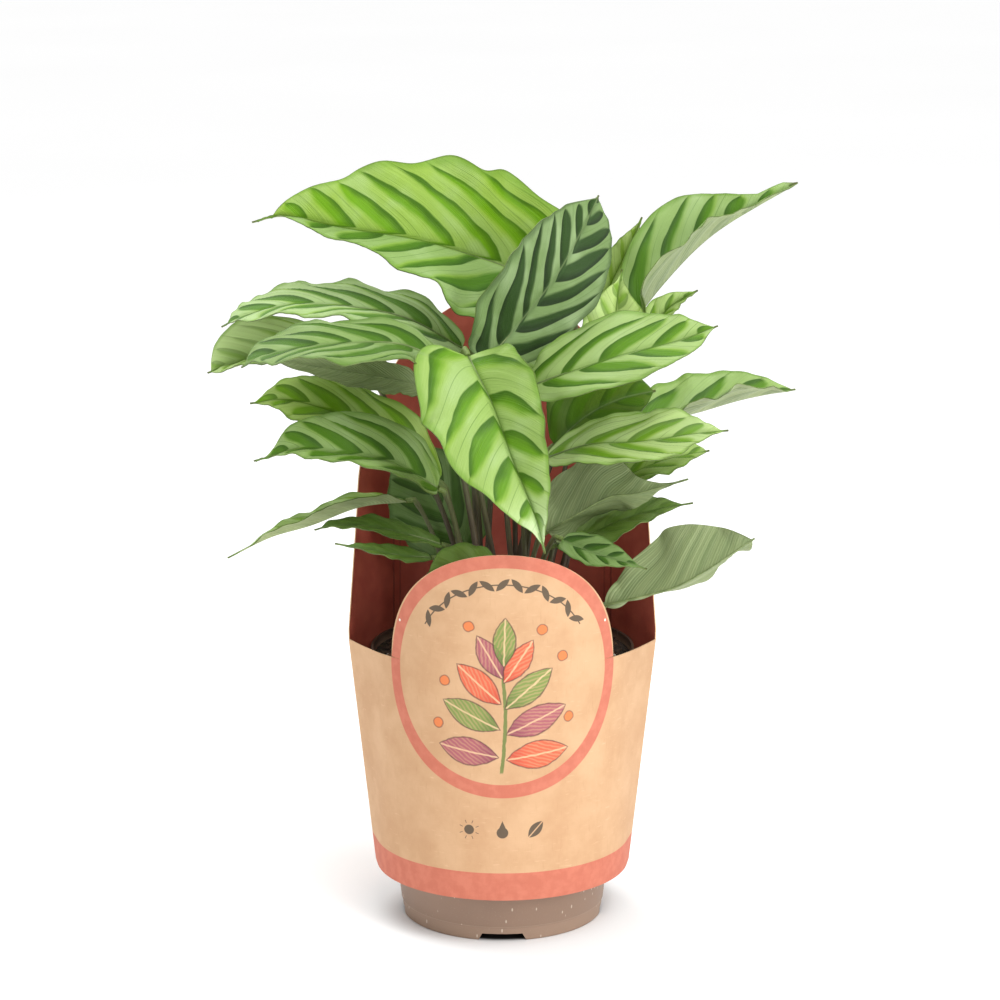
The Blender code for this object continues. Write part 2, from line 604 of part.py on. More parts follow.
def main():
    clear_scene()
    collection = new_collection("potted_calathea")
    cutters = new_collection("cutters")
    taupe = new_material("taupe plastic", (0.27, 0.20, 0.155), 0.55)
    earth = new_material("dark earth", (0.02, 0.014, 0.009), 0.95)
    kraft = new_material("kraft paper", (0.72, 0.50, 0.29), 0.8)
    light = new_material("light leaf", (0.28, 0.46, 0.10), 0.45)
    dark = new_material("dark leaf", (0.08, 0.17, 0.06), 0.45)
    stem = new_material("stalk", (0.12, 0.12, 0.04), 0.5)
    build_pot(collection, cutters, taupe)
    build_soil(collection, cutters, earth)
    build_sleeve(collection, kraft)
    for number, leaf in LEAVES.items():
        colour = dark if number in DARK_LEAVES else light
        build_blade(f"leaf_{number:02d}_blade", leaf, collection, colour)
        build_stalk(f"leaf_{number:02d}_stalk", leaf, collection, stem)


main()
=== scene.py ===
# %% [markdown]
# # A potted calathea, dressed leaf by leaf
#
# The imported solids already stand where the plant, its pot and its paper sleeve stand. This lesson
# lays the visible surfaces over them: waved and feather-marked leaf blades, thin stalks, rough
# soil, a speckled nursery pot and a printed kraft sleeve. Each step says what the piece is on the
# real plant, how it could be made, and why it is made this way here.

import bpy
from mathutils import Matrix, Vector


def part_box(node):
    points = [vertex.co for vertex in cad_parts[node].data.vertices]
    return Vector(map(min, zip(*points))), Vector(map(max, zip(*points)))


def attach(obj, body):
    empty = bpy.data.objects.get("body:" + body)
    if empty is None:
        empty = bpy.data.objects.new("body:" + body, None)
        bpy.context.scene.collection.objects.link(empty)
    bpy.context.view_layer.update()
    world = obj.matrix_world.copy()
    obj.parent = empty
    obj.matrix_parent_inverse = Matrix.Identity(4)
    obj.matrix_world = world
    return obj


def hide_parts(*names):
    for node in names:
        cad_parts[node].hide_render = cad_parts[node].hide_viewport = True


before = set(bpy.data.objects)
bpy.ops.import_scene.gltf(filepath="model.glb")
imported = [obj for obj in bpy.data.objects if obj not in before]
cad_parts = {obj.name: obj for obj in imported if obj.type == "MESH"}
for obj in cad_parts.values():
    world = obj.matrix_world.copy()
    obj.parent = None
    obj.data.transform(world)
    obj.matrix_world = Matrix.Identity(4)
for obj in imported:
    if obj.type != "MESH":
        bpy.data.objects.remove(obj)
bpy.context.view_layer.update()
print("solids:", len(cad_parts), "nodes")

# %% [markdown]
# ## Measures and colours
#
# The frame is in metres, and a grower thinks in millimetres, so every length below is written in
# millimetres and multiplied by MM. Screen colours are gamma-coded, while a shader wants linear
# light, so tint() turns one into the other. Wherever colours are mixed below, they are written as
# three screen numbers from 0 to 255, and mix() tints them.

# %% Measures and colours
import math

import bmesh
import bpy
import numpy as np
from mathutils import Vector, noise

MM = 0.001


def tint(red, green, blue):
    """A screen colour from 0 to 255, as the linear colour that a shader takes."""
    shares = [channel / 255 for channel in (red, green, blue)]
    return (*[c / 12.92 if c <= 0.04045 else ((c + 0.055) / 1.055) ** 2.4 for c in shares], 1.0)


# %% [markdown]
# ## Node trees written as sums
#
# A leaf's markings and its waves are both sums over a few coordinates. Wiring dozens of Math
# nodes by hand hides the idea, so a Value wraps a socket and adds the nodes for +, -, * and /
# itself. The same classes serve the shader trees and the Geometry Nodes trees. Small functions
# after them name what a painter does most: mix two colours, fade softly, lay one coat on another.

# %% Values and graphs
class Value:
    """An output of a node. A sum that is written with it adds the nodes that work it out."""

    def __init__(self, graph, socket):
        self.graph, self.socket = graph, socket

    def do(self, operation, *others):
        return self.graph.maths(operation, self, *others)

    def __pow__(self, other):
        return self.do("POWER", other)

    def __abs__(self):
        return self.do("ABSOLUTE")


def teach_sign(sign, operation):
    """Lets a Value stand on either side of a sign, such as + or /."""
    setattr(Value, f"__{sign}__", lambda self, other: self.do(operation, other))
    setattr(Value, f"__r{sign}__", lambda self, other: self.graph.maths(operation, other, self))


teach_sign("add", "ADD")
teach_sign("sub", "SUBTRACT")
teach_sign("mul", "MULTIPLY")
teach_sign("truediv", "DIVIDE")


def socket_of(sockets, key):
    """A socket by its identifier, or else by its name or number."""
    return next((s for s in sockets if s.identifier == key), None) or sockets[key]


class Made:
    """A node that has been added, whose outputs are read as made["Name"]."""

    def __init__(self, graph, node):
        self.graph, self.node = graph, node

    def __getitem__(self, key):
        return Value(self.graph, socket_of(self.node.outputs, key))


class Graph:
    """A node tree that is being drawn up."""

    def __init__(self, tree):
        self.tree = tree

    def node(self, kind, sockets=None, **settings):
        """Adds a node: its settings first, then the values or links of its sockets."""
        node = self.tree.nodes.new(kind)
        for name, value in settings.items():
            setattr(node, name, value)
        for key, given in (sockets or {}).items():
            socket = socket_of(node.inputs, key)
            for one in given if isinstance(given, list) else [given]:
                if isinstance(one, Value):
                    self.tree.links.new(one.socket, socket)
                else:
                    socket.default_value = one
        return Made(self, node)

    def step(self, kind, first=None, sockets=None, **settings):
        """A Geometry Nodes step, fed through its first socket and read from its first output."""
        fed = {} if first is None else {0: first}
        return self.node("GeometryNode" + kind, {**fed, **(sockets or {})}, **settings)[0]

    def note(self, geometry, name, value, kind="FLOAT_VECTOR", domain="POINT"):
        """Keeps a value on the geometry under a name, which a material or a step can read."""
        return self.step("StoreNamedAttribute", geometry, {"Name": name, "Value": value},
                         data_type=kind, domain=domain)

    def maths(self, operation, *terms):
        """Math nodes for numbers, and Vector Math nodes where a term is a vector."""
        vectors = [isinstance(t, tuple) or isinstance(t, Value) and t.socket.type == "VECTOR"
                   for t in terms]
        numbered = dict(enumerate(terms))
        if not any(vectors):
            return self.node("ShaderNodeMath", numbered, operation=operation)[0]
        if operation == "MULTIPLY" and not all(vectors):
            arrow, number = terms if vectors[0] else reversed(terms)
            return self.node("ShaderNodeVectorMath", {"Vector": arrow, "Scale": number},
                             operation="SCALE")["Vector"]
        wanted = "Value" if operation in ("DOT_PRODUCT", "LENGTH", "DISTANCE") else "Vector"
        return self.node("ShaderNodeVectorMath", numbered, operation=operation)[wanted]


def graph_of(*terms):
    return next(term.graph for term in terms if isinstance(term, Value))


def smooth(value, low, high):
    """0 at low and 1 at high, with an easy start and end."""
    return value.graph.node("ShaderNodeMapRange", {
        "Value": value, "From Min": low, "From Max": high},
        interpolation_type="SMOOTHSTEP")["Result"]


def mix(share, *colours):
    """The first colour where share is 0, the second where it is 1."""
    first, second = [tint(*c) if isinstance(c, tuple) else c for c in colours]
    return graph_of(share, first, second).node("ShaderNodeMix", {
        "Factor_Float": share, "A_Color": first, "B_Color": second},
        data_type="RGBA")["Result_Color"]


def paint(colour, *layers):
    """Lays one colour after another over the first, each by its own share."""
    for share, ink in layers:
        colour = mix(share, colour, ink)
    return colour


def vector(x, y, z):
    return graph_of(x, y, z).node("ShaderNodeCombineXYZ", {"X": x, "Y": y, "Z": z})["Vector"]


def parts(whole):
    split = whole.graph.node("ShaderNodeSeparateXYZ", {"Vector": whole})
    return split["X"], split["Y"], split["Z"]


def cloud(place, scale, detail=2.0, roughness=0.5):
    """Soft noise from 0 to 1. Scale is in swings per metre of the coordinates."""
    return place.graph.node("ShaderNodeTexNoise", {
        "Vector": place, "Scale": scale, "Detail": detail, "Roughness": roughness})["Fac"]


def far(x, y):
    """How far a place lies from the centre that x and y are measured from."""
    return (x * x + y * y).do("SQRT")


def chance(place):
    """A random number from 0 to 1 that stays the same wherever place does."""
    return place.graph.node("ShaderNodeTexWhiteNoise", {"Vector": place})["Value"]


# %% Starting and closing a material
def start_material(name):
    """A new material's empty graph, and each point's place on the object."""
    material = bpy.data.materials.new(name)
    material.use_nodes = True
    material.node_tree.nodes.clear()
    graph = Graph(material.node_tree)
    graph.material = material
    return graph, graph.node("ShaderNodeTexCoord")["Object"]


def end_material(graph, colour, roughness, height=None, deep=0.0, more=None):
    """Closes the graph. A height of 0 to 1 stands for a relief that is deep millimetres high."""
    sockets = {"Base Color": colour, "Roughness": roughness, **(more or {})}
    if height is not None:
        sockets["Normal"] = graph.node("ShaderNodeBump", {
            "Height": height, "Distance": deep * MM, "Strength": 1.0})["Normal"]
    shader = graph.node("ShaderNodeBsdfPrincipled", sockets)
    graph.node("ShaderNodeOutputMaterial", {"Surface": shader["BSDF"]})
    print("finish:", graph.material.name, "with", len(graph.tree.nodes), "nodes")
    return graph.material


# %% [markdown]
# ## Trees that grow a mesh
#
# A Geometry Nodes tree could stay live on its object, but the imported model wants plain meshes.
# So grow() puts the tree on a helper object, sets its inputs by socket identifier, reads the
# result once as a mesh, and throws the helper away.

# %% Growing a mesh with a tree
def new_tree(name, inputs):
    """An empty Geometry Nodes tree with a Geometry input and the named ones."""
    tree = bpy.data.node_groups.new(name, "GeometryNodeTree")
    tree.is_modifier = True
    for title, kind in {"Geometry": "Geometry", **inputs}.items():
        tree.interface.new_socket(title, in_out="INPUT", socket_type="NodeSocket" + kind)
    tree.interface.new_socket("Geometry", in_out="OUTPUT", socket_type="NodeSocketGeometry")
    graph = Graph(tree)
    return graph, graph.node("NodeGroupInput")


def add_piece(name, mesh):
    piece = bpy.data.objects.new(name, mesh)
    bpy.context.scene.collection.objects.link(piece)
    return piece


def settle(helper, name):
    """The helper with its modifiers worked out, as a plain piece; the helper goes."""
    evaluated = helper.evaluated_get(bpy.context.evaluated_depsgraph_get())
    mesh = bpy.data.meshes.new_from_object(evaluated)
    mesh.name = name
    bpy.data.objects.remove(helper, do_unlink=True)
    return add_piece(name, mesh)


def grow(name, mesh, tree, values):
    helper = add_piece(name + "_helper", mesh)
    modifier = helper.modifiers.new("Grow", "NODES")
    modifier.node_group = tree
    for socket in tree.interface.items_tree:
        if socket.in_out == "INPUT" and socket.name in values:
            modifier[socket.identifier] = values[socket.name]
    return settle(helper, name)


def soften(piece, sharp_from=50):
    """Smooth shading, apart from edges that turn by more than sharp_from degrees."""
    piece.data.shade_smooth()
    piece.data.set_sharp_from_angle(angle=math.radians(sharp_from))


# %% [markdown]
# ## Camera
#
# The camera stands where the photograph's stood: a little above the plant's top, with a long
# lens from over a metre away, looking slightly down. Its numbers were worked out from the pot's
# foot, the sleeve's edge and the leaf tips, so that each lands close to its own pixel.

# %% Camera
SENSOR, FOCAL_PIXELS, PICTURE_PIXELS = 36.0, 3019, 1000
CAMERA_PLACE, LOOK_DOWN = (-1, -1250, 455), 12.35


def place_camera():
    camera = bpy.data.cameras.new("studio camera")
    camera.sensor_width = SENSOR
    camera.lens = SENSOR * FOCAL_PIXELS / PICTURE_PIXELS
    camera.clip_start, camera.clip_end = 0.05, 60.0
    stand = bpy.data.objects.new("studio_camera", camera)
    bpy.context.scene.collection.objects.link(stand)
    stand.location = Vector(CAMERA_PLACE) * MM
    stand.rotation_euler = (math.radians(90 - LOOK_DOWN), 0, 0)
    bpy.context.scene.camera = stand
    print("camera: lens", round(camera.lens, 1), "mm,", LOOK_DOWN, "degrees down")


place_camera()

# %% [markdown]
# ## Studio
#
# A plant like this is shot on a white sweep under a wide soft light, a little from the right. A
# sun lamp with a wide angle gives that light evenly over the floor, a pale sky fills the shadows,
# and three softboxes round the leaves leave the broad sheen that their wax shows. The camera sees
# the sky at full white, while the leaves get only a share of its light. The floor is pale, with a
# faint glow away from the pot; the glow fades out towards the pot, which paints a soft shadow
# round its foot. The disc of floor under the pot is painted dark, a painted shade, so that no light
# comes up through the drain holes and the notches.

# %% Studio
SKY_LIGHT, SKY_SEEN = 0.56, 1.0
DISC_EDGE, GLOW_FROM, GLOW_FULL = 40, 50, 140
AIMED_AT = Vector((0, 0, 0.18))


def pale_floor():
    graph, place = start_material("pale floor")
    shade = mix(cloud(place, 1.5), (250, 250, 250), (254, 254, 254))
    out = place.do("LENGTH")
    # painted shadow: the floor's glow is black near the pot and fades in outwards, so the floor is
    # darker round the foot
    glow = mix(smooth(out, GLOW_FROM * MM, GLOW_FULL * MM), (0, 0, 0), (255, 255, 255))
    # painted shade: a dark disc of floor under the pot, where no light should reach
    shade = mix(smooth(out, DISC_EDGE * MM, (DISC_EDGE + 4) * MM), (30, 28, 26), shade)
    return end_material(graph, shade, 0.9, more={"Emission Color": glow, "Emission Strength": 0.12})


def build_studio():
    bpy.ops.mesh.primitive_plane_add(size=60)
    floor = bpy.context.object
    floor.name = "floor"
    floor.data.materials.append(pale_floor())

    world = bpy.data.worlds.new("studio sky")
    bpy.context.scene.world = world
    world.use_nodes = True
    sky = world.node_tree.nodes["Background"]
    sky.inputs["Color"].default_value = (1.0, 1.0, 1.0, 1.0)
    path = world.node_tree.nodes.new("ShaderNodeLightPath")
    seen = world.node_tree.nodes.new("ShaderNodeMapRange")
    for key, strength in (("To Min", SKY_LIGHT), ("To Max", SKY_SEEN)):
        seen.inputs[key].default_value = strength
    world.node_tree.links.new(path.outputs["Is Camera Ray"], seen.inputs["Value"])
    world.node_tree.links.new(seen.outputs["Result"], sky.inputs["Strength"])

    sun = bpy.data.lights.new("wide soft light", "SUN")
    sun.energy, sun.angle = 1.3, math.radians(50)
    lights = [(sun, (0.42, -0.55, 1.3))]
    for name, size, energy, place in (("side softbox", 0.5, 4.6, (0.85, -0.75, 0.55)),
                                      ("key softbox", 0.3, 2.6, (0.42, -0.62, 1.15)),
                                      ("top softbox", 0.9, 8.0, (-0.45, 0.45, 1.15))):
        box = bpy.data.lights.new(name, "AREA")
        box.size, box.energy = size, energy
        lights.append((box, place))
    for light, place in lights:
        lamp = bpy.data.objects.new(light.name.replace(" ", "_"), light)
        bpy.context.scene.collection.objects.link(lamp)
        lamp.location = place
        aim = AIMED_AT - Vector(place)
        lamp.rotation_euler = aim.to_track_quat("-Z", "Y").to_euler()
    bpy.context.scene.view_settings.view_transform = "Standard"


build_studio()

# %% [markdown]
# ## The leaves, as measured
#
# Every leaf is a line with a habit. The line is its midrib, from the blade's base to its tip, in
# millimetres. Then come its width, its tilt and fold about the midrib in degrees, and where its
# stalk stands in the soil. They began as the numbers that the solids were made from, and were
# then refined against the photograph, so each dressed leaf still lies by its own solid. A leaf
# that differs from the usual one may also say:
#
# - side: -1 where its underside is turned to the front
# - peak and skew: where it is widest, and how far its two halves differ in that
# - tail, drip and lobe: how slim it runs out, its thin tip's share, its round base
# - uneven: how much wider one half is; ribbon: the least half width near the tip
# - waves and scallop: how many swings its margin makes, and how wide they are
# - twist, tip_tilt and tip_fold: a turn at its base, and its own tilt and fold at the tip
# - sweep: how far its veins lean to the tip; cool: how much a painted sheen greys its second half
# - tip_pale: how much a painted sheen whitens it towards the tip

# %% The leaves, as measured
USUAL = dict(side=1, waves=4.0, peak=0.36, skew=0.0, tail=1.0, drip=0.02, lobe=0.35, uneven=0.0,
             scallop=0.035, ribbon=0.0, sweep=1.0, twist=0, cool=0.0, tip_pale=0.0)


def leaf(midrib, width, tilt, fold, foot, **own):
    """One leaf's measures, with the usual ones wherever it has none of its own."""
    return {"midrib": midrib, "width": width, "tilt": tilt, "fold": fold, "foot": foot,
            "tip_tilt": tilt, "tip_fold": fold, **USUAL, **own}


LEAVES = {
    1: leaf([(26, 34, 260), (6, 27, 275), (-15, 21, 283.6), (-37, 14, 290.8), (-66, 2, 297),
        (-90, -8, 303.2), (-103, -12, 301.2)], 76.5, 15, 4, (2, 15), waves=5, peak=0.295,
        tail=0.3, drip=0.12, uneven=0.02, lobe=0.6, scallop=0.055, cool=0.8, skew=0.3, sweep=1.2,
        tip_tilt=34, tip_fold=44),
    2: leaf([(-6, -11, 244), (5, -9, 256), (22, -4, 277), (33.5, 4, 296), (40.5, 10, 309.5)], 46,
        28, 8, (0, -1), peak=0.46, tail=0.25, lobe=0.6, uneven=0.16),
    3: leaf([(54.5, 18, 253.5), (67, 25, 268.6), (83, 32, 284.6), (98.8, 36, 296),
        (126, 38, 312)], 48.5, -59, 44, (18, 12), peak=0.42, tail=1.5, uneven=0.02, waves=2.5,
        scallop=0.015, ribbon=4.2, skew=-0.16, drip=0.0, lobe=0.1),
    4: leaf([(43, 46, 258), (50, 46, 273), (56, 45, 286), (60, 46, 296)], 16, -20, 40, (20, 26)),
    5: leaf([(45, 10, 233), (47, 6, 249), (48, 4, 265), (50, 5, 279)], 32, -3, 18, (15, 3)),
    6: leaf([(-14, -32, 248.5), (-9, -42, 240.5), (-3, -50, 229), (4, -60, 211), (13, -68, 190),
        (17, -72, 175)], 53, 9, 24, (-7, -11), lobe=0.6, twist=-45, uneven=-0.22, sweep=0.55,
        tip_pale=1.7),
    7: leaf([(11, -22, 234), (25, -31, 241), (48, -38, 250), (72, -42, 257), (87, -43, 263)], 38,
        -40, 5, (6, -7), peak=0.46, tail=0.45, uneven=0.15, waves=3, sweep=1.45),
    8: leaf([(-17, 14, 244), (-39, 10, 257), (-63, 6, 263), (-88, 0, 265), (-108, -6, 261),
        (-117, -8, 257)], 42, 68, 5, (-8, 3), waves=5, peak=0.42, tail=0.4, uneven=0.04,
        twist=-22, tip_tilt=62, drip=0.06, skew=-0.06, sweep=1.3),
    9: leaf([(-25, -10, 243), (-42, -23, 252), (-62, -41, 255.5), (-82, -50, 255),
        (-97, -53, 252), (-105, -55, 248)], 44, 64, 5, (-12, -3), waves=3.5, uneven=0.3,
        sweep=1.4, twist=-40, lobe=0.1, peak=0.46, tail=0.7),
    10: leaf([(-66, 13, 242), (-85, 11, 243), (-101, 8, 241.5), (-114, 4, 239), (-124, 1, 236)],
        32, 32, 42, (-15, 11), drip=0.04, uneven=-0.3, peak=0.58, tail=0.1, waves=2.5),
    11: leaf([(-27, -1, 190), (-44, -3, 209), (-70, -9, 221), (-90, -13, 227), (-105, -15, 226)],
        38, 48, 5, (-13, 4), uneven=0.05, peak=0.45, tail=0.6),
    12: leaf([(-27, -18, 190.5), (-46, -30, 204), (-67, -39, 209.5), (-83, -45, 212.5),
        (-94, -47, 210), (-101, -49, 208.5)], 33, 48, 22, (-17, -8), tail=1.8, uneven=-0.22,
        drip=0.08, sweep=1.2, waves=3),
    13: leaf([(-41, 0, 181), (-60, -8, 180.5), (-80, -16, 174.5), (-97, -24, 171),
        (-114, -32, 164)], 17, 80, 34, (-22, 6), drip=0.1, waves=3, tail=0.7, peak=0.42),
    14: leaf([(-26, -8, 164), (-39, -12, 169), (-55, -18, 174), (-70, -24, 176), (-78, -28, 175)],
        17, 66, 5, (-23, -2), waves=2.5),
    15: leaf([(-30, -20, 161), (-43, -24, 163), (-55, -30, 167), (-69, -36, 171)], 13, 65, 5,
        (-21, -14), waves=2),
    16: leaf([(-6, -28, 144), (-15, -34, 154), (-23, -38, 159), (-31, -40, 159)], 32, 5, 5,
        (-4, -20), tail=0.2),
    17: leaf([(-16, 20, 156), (-28, 21, 175), (-39, 23, 190), (-50, 25, 202)], 44, 10, 8,
        (-8, 13)),
    18: leaf([(22, -4, 206), (34, -6, 218), (48, -8, 226), (64, -8, 230)], 42, -30, 8, (9, 3),
        peak=0.5, tail=0.2),
    19: leaf([(53, 4, 211), (67, 8, 214), (84, 12, 217.3), (103, 16, 222), (125, 18, 226)], 40,
        -62, 38, (22, 7), peak=0.56, tail=0.1, uneven=-0.22, skew=0.2),
    20: leaf([(18, -18, 203), (36, -28, 211), (57, -36, 214), (77, -41, 218), (92, -43, 220)], 35,
        -51, 5, (12, -9), peak=0.5, waves=3.5, sweep=1.45, tail=0.9),
    21: leaf([(33, -12, 187), (49, -16, 194), (66, -18, 202), (86, -20, 207)], 30, -60, 5,
        (17, -3), peak=0.6, tail=0.1, waves=3),
    22: leaf([(19, -22, 173), (32, -28, 182), (44, -34, 190), (56, -38, 192.5), (76, -42, 199.5)],
        40, 25, -50, (10, -16), side=-1, drip=0.05, waves=3, tip_fold=-25),
    23: leaf([(23, -13.5, 165), (37, -15, 170.5), (51, -18, 177.5), (65, -22, 182.5),
        (79, -26, 186)], 26, -57, 3, (18, -11), peak=0.44, tail=0.6, drip=0.06, waves=2.5),
    24: leaf([(43, -30, 143), (57, -36, 148), (72, -42, 154), (87, -46, 164), (103, -48, 176)],
        46, 33, -50, (25, -18), side=-1, tip_fold=-45, peak=0.58, scallop=0.01, waves=2,
        tail=0.05, uneven=0.1),
    25: leaf([(25, -34, 172), (36, -42, 169), (47, -48, 167), (59, -52, 164)], 15, -30, 10,
        (14, -23), waves=2.5),
    26: leaf([(59, 8, 246), (64, 8, 255), (71, 8, 263), (82, 8, 270)], 15, -30, 30, (24, 14),
        peak=0.45, tail=0.5),
    27: leaf([(-26, 6, 225), (-42, 1, 232), (-60, -8, 237), (-96, -24, 246)], 19, 40, 10, (-9, 9),
        side=-1, peak=0.58, tail=0.1),
    28: leaf([(10, 38, 235), (20, 50, 262), (27, 60, 280), (30, 69, 292)], 34, 0, 12, (6, 27)),
}
print("leaves:", len(LEAVES))

# %% [markdown]
# The finish of a leaf has six numbers. Depth is 0 on a fresh pale leaf and 1 on the darkest; it is
# partly the leaf's own tone and partly painted shade, for leaves that lie in shade deep in the
# plant are given darker greens. Warmth is 0 where the green is silvery and 1 where it is yellow.
# Spacing is how far apart the feather strokes stand along the midrib, in millimetres. Breadth
# widens them, and strength says how plainly they show, for some small leaves are nearly plain
# green. Pale lightens the ground; it is partly painted light too, given to leaves that face the
# light or that light shines through.

# %% How each leaf is coloured
HABIT_NAMES = ("depth", "warmth", "spacing", "breadth", "strength", "pale")
# depth and pale hold painted shade and painted light as well as each leaf's own tone
HABITS = {
    1: (0.05, 0.9, 22, 1.0, 1.0, 0.0), 2: (1.0, 0.1, 13.5, 1.35, 1.0, 0.0),
    3: (0.15, 0.3, 18, 1.1, 1.0, 0.1), 4: (0.0, 1.0, 10, 1.0, 0.0, 1.1),
    5: (0.0, 1.0, 14, 0.8, 0.6, 1.0), 6: (0.08, 0.6, 18, 0.9, 1.0, 0.15),
    7: (0.08, 0.5, 20.5, 1.1, 1.0, 0.5), 8: (0.0, 0.25, 17, 1.1, 1.0, 0.8),
    9: (0.5, 0.45, 18, 1.25, 1.0, 0.25), 10: (0.0, 0.7, 12, 0.8, 0.5, 1.25),
    11: (0.0, 1.0, 17, 1.25, 0.9, 0.6), 12: (0.3, 0.4, 16, 1.15, 1.0, 0.3),
    13: (0.0, 0.6, 12, 0.8, 0.4, 0.5), 14: (0.8, 0.8, 12, 1.0, 0.25, 0.0),
    15: (0.75, 0.8, 10, 1.0, 0.25, 0.0), 16: (0.65, 0.8, 12, 1.0, 0.12, 0.0),
    17: (0.95, 0.5, 13, 1.1, 0.8, 0.0), 18: (0.8, 1.0, 14, 1.2, 0.7, 0.0),
    19: (0.1, 0.45, 21, 1.2, 1.0, 0.3), 20: (0.0, 0.75, 20, 0.95, 0.85, 1.0),
    21: (0.0, 0.7, 13, 0.9, 0.8, 0.4), 22: (0.7, 0.3, 12, 1.0, 0.5, 0.0),
    23: (0.5, 0.7, 12, 1.0, 0.3, 0.0), 24: (0.55, 0.3, 12, 1.0, 0.6, 0.0),
    25: (0.7, 0.3, 10, 1.0, 1.0, 0.0), 26: (0.0, 0.7, 10, 0.9, 0.8, 0.7),
    27: (0.5, 0.5, 13, 1.0, 0.4, 0.0), 28: (0.0, 1.0, 13, 1.0, 0.0, 1.1),
}


# %% [markdown]
# ## A midrib as a line of points
#
# The measured points are joined by a Catmull-Rom curve, which passes through each of them with an
# even bend. The line is kept as a mesh of points and edges, because that is what a Geometry Nodes
# tree can read and turn into a curve of its own.

# %% Midrib lines
def midrib_line(points, steps):
    """Places in millimetres at equal steps through the measured points."""
    knots = np.array(points, float)
    knots = np.vstack([2 * knots[0] - knots[1], knots, 2 * knots[-1] - knots[-2]])
    spans = len(points) - 1
    places = []
    for step in range(steps + 1):
        scaled = step / steps * spans
        index = min(int(scaled), spans - 1)
        u = scaled - index
        a, b, c, d = knots[index:index + 4]
        places.append(0.5 * (2 * b + (c - a) * u + (2 * a - 5 * b + 4 * c - d) * u ** 2
                             + (3 * b - a - 3 * c + d) * u ** 3))
    return np.array(places)


def length_of(places):
    return np.linalg.norm(np.diff(places, axis=0), axis=1).sum()


def line_mesh(places, girths=None):
    """A mesh of points and edges along the places, in metres, which may carry a girth each."""
    mesh = bpy.data.meshes.new("line")
    mesh.from_pydata([tuple(place * MM) for place in places],
                     [(i, i + 1) for i in range(len(places) - 1)], [])
    if girths is not None:
        attribute = mesh.attributes.new("girth", "FLOAT", "POINT")
        attribute.data.foreach_set("value", girths * MM)
    return mesh


# %% [markdown]
# ## The leaf blade tree
#
# A calathea's blade follows a rule: half widths along the midrib, waves that grow towards the
# margin, pleats along the side veins, and a channel over the midrib. Twenty-eight hand-modelled
# leaves would drift apart, so one Geometry Nodes tree makes them all. It lays a grid, looks up
# the midrib's place and direction for each of its rows, and pushes each point out to where the
# rule puts it. The side veins leave the midrib almost square near the base and sweep forward
# near the tip, and the tree stores that vein grid for the paint to use later.

# %% The leaf blade tree
FRONT = (0.0, -0.977, 0.214)
ANGLES = ("Tilt", "Fold", "Tip tilt", "Tip fold", "Twist")
LENGTHS = ("Width", "Length", "Spacing", "Pleat", "Thickness", "Ribbon", "Rib radius")
NUMBERS = ("Side", "Waves", "Phase", "Peak", "Skew", "Tail", "Lobe", "Uneven", "Drip", "Sweep",
           "Scallop", "Depth", "Warmth", "Cool", "Seed", "Breadth", "Strength", "Pale", "Tip pale")
BLADE_INPUTS = {
    **dict.fromkeys(("Rows", "Columns"), "Int"),
    **dict.fromkeys(ANGLES + LENGTHS + NUMBERS, "Float"),
    **dict.fromkeys(("Front face", "Back face", "Margin", "Rib"), "Material")}


def front_of(way):
    """The direction to the front, square to the midrib's own direction."""
    return (FRONT - way * way.do("DOT_PRODUCT", FRONT)).do("NORMALIZE")


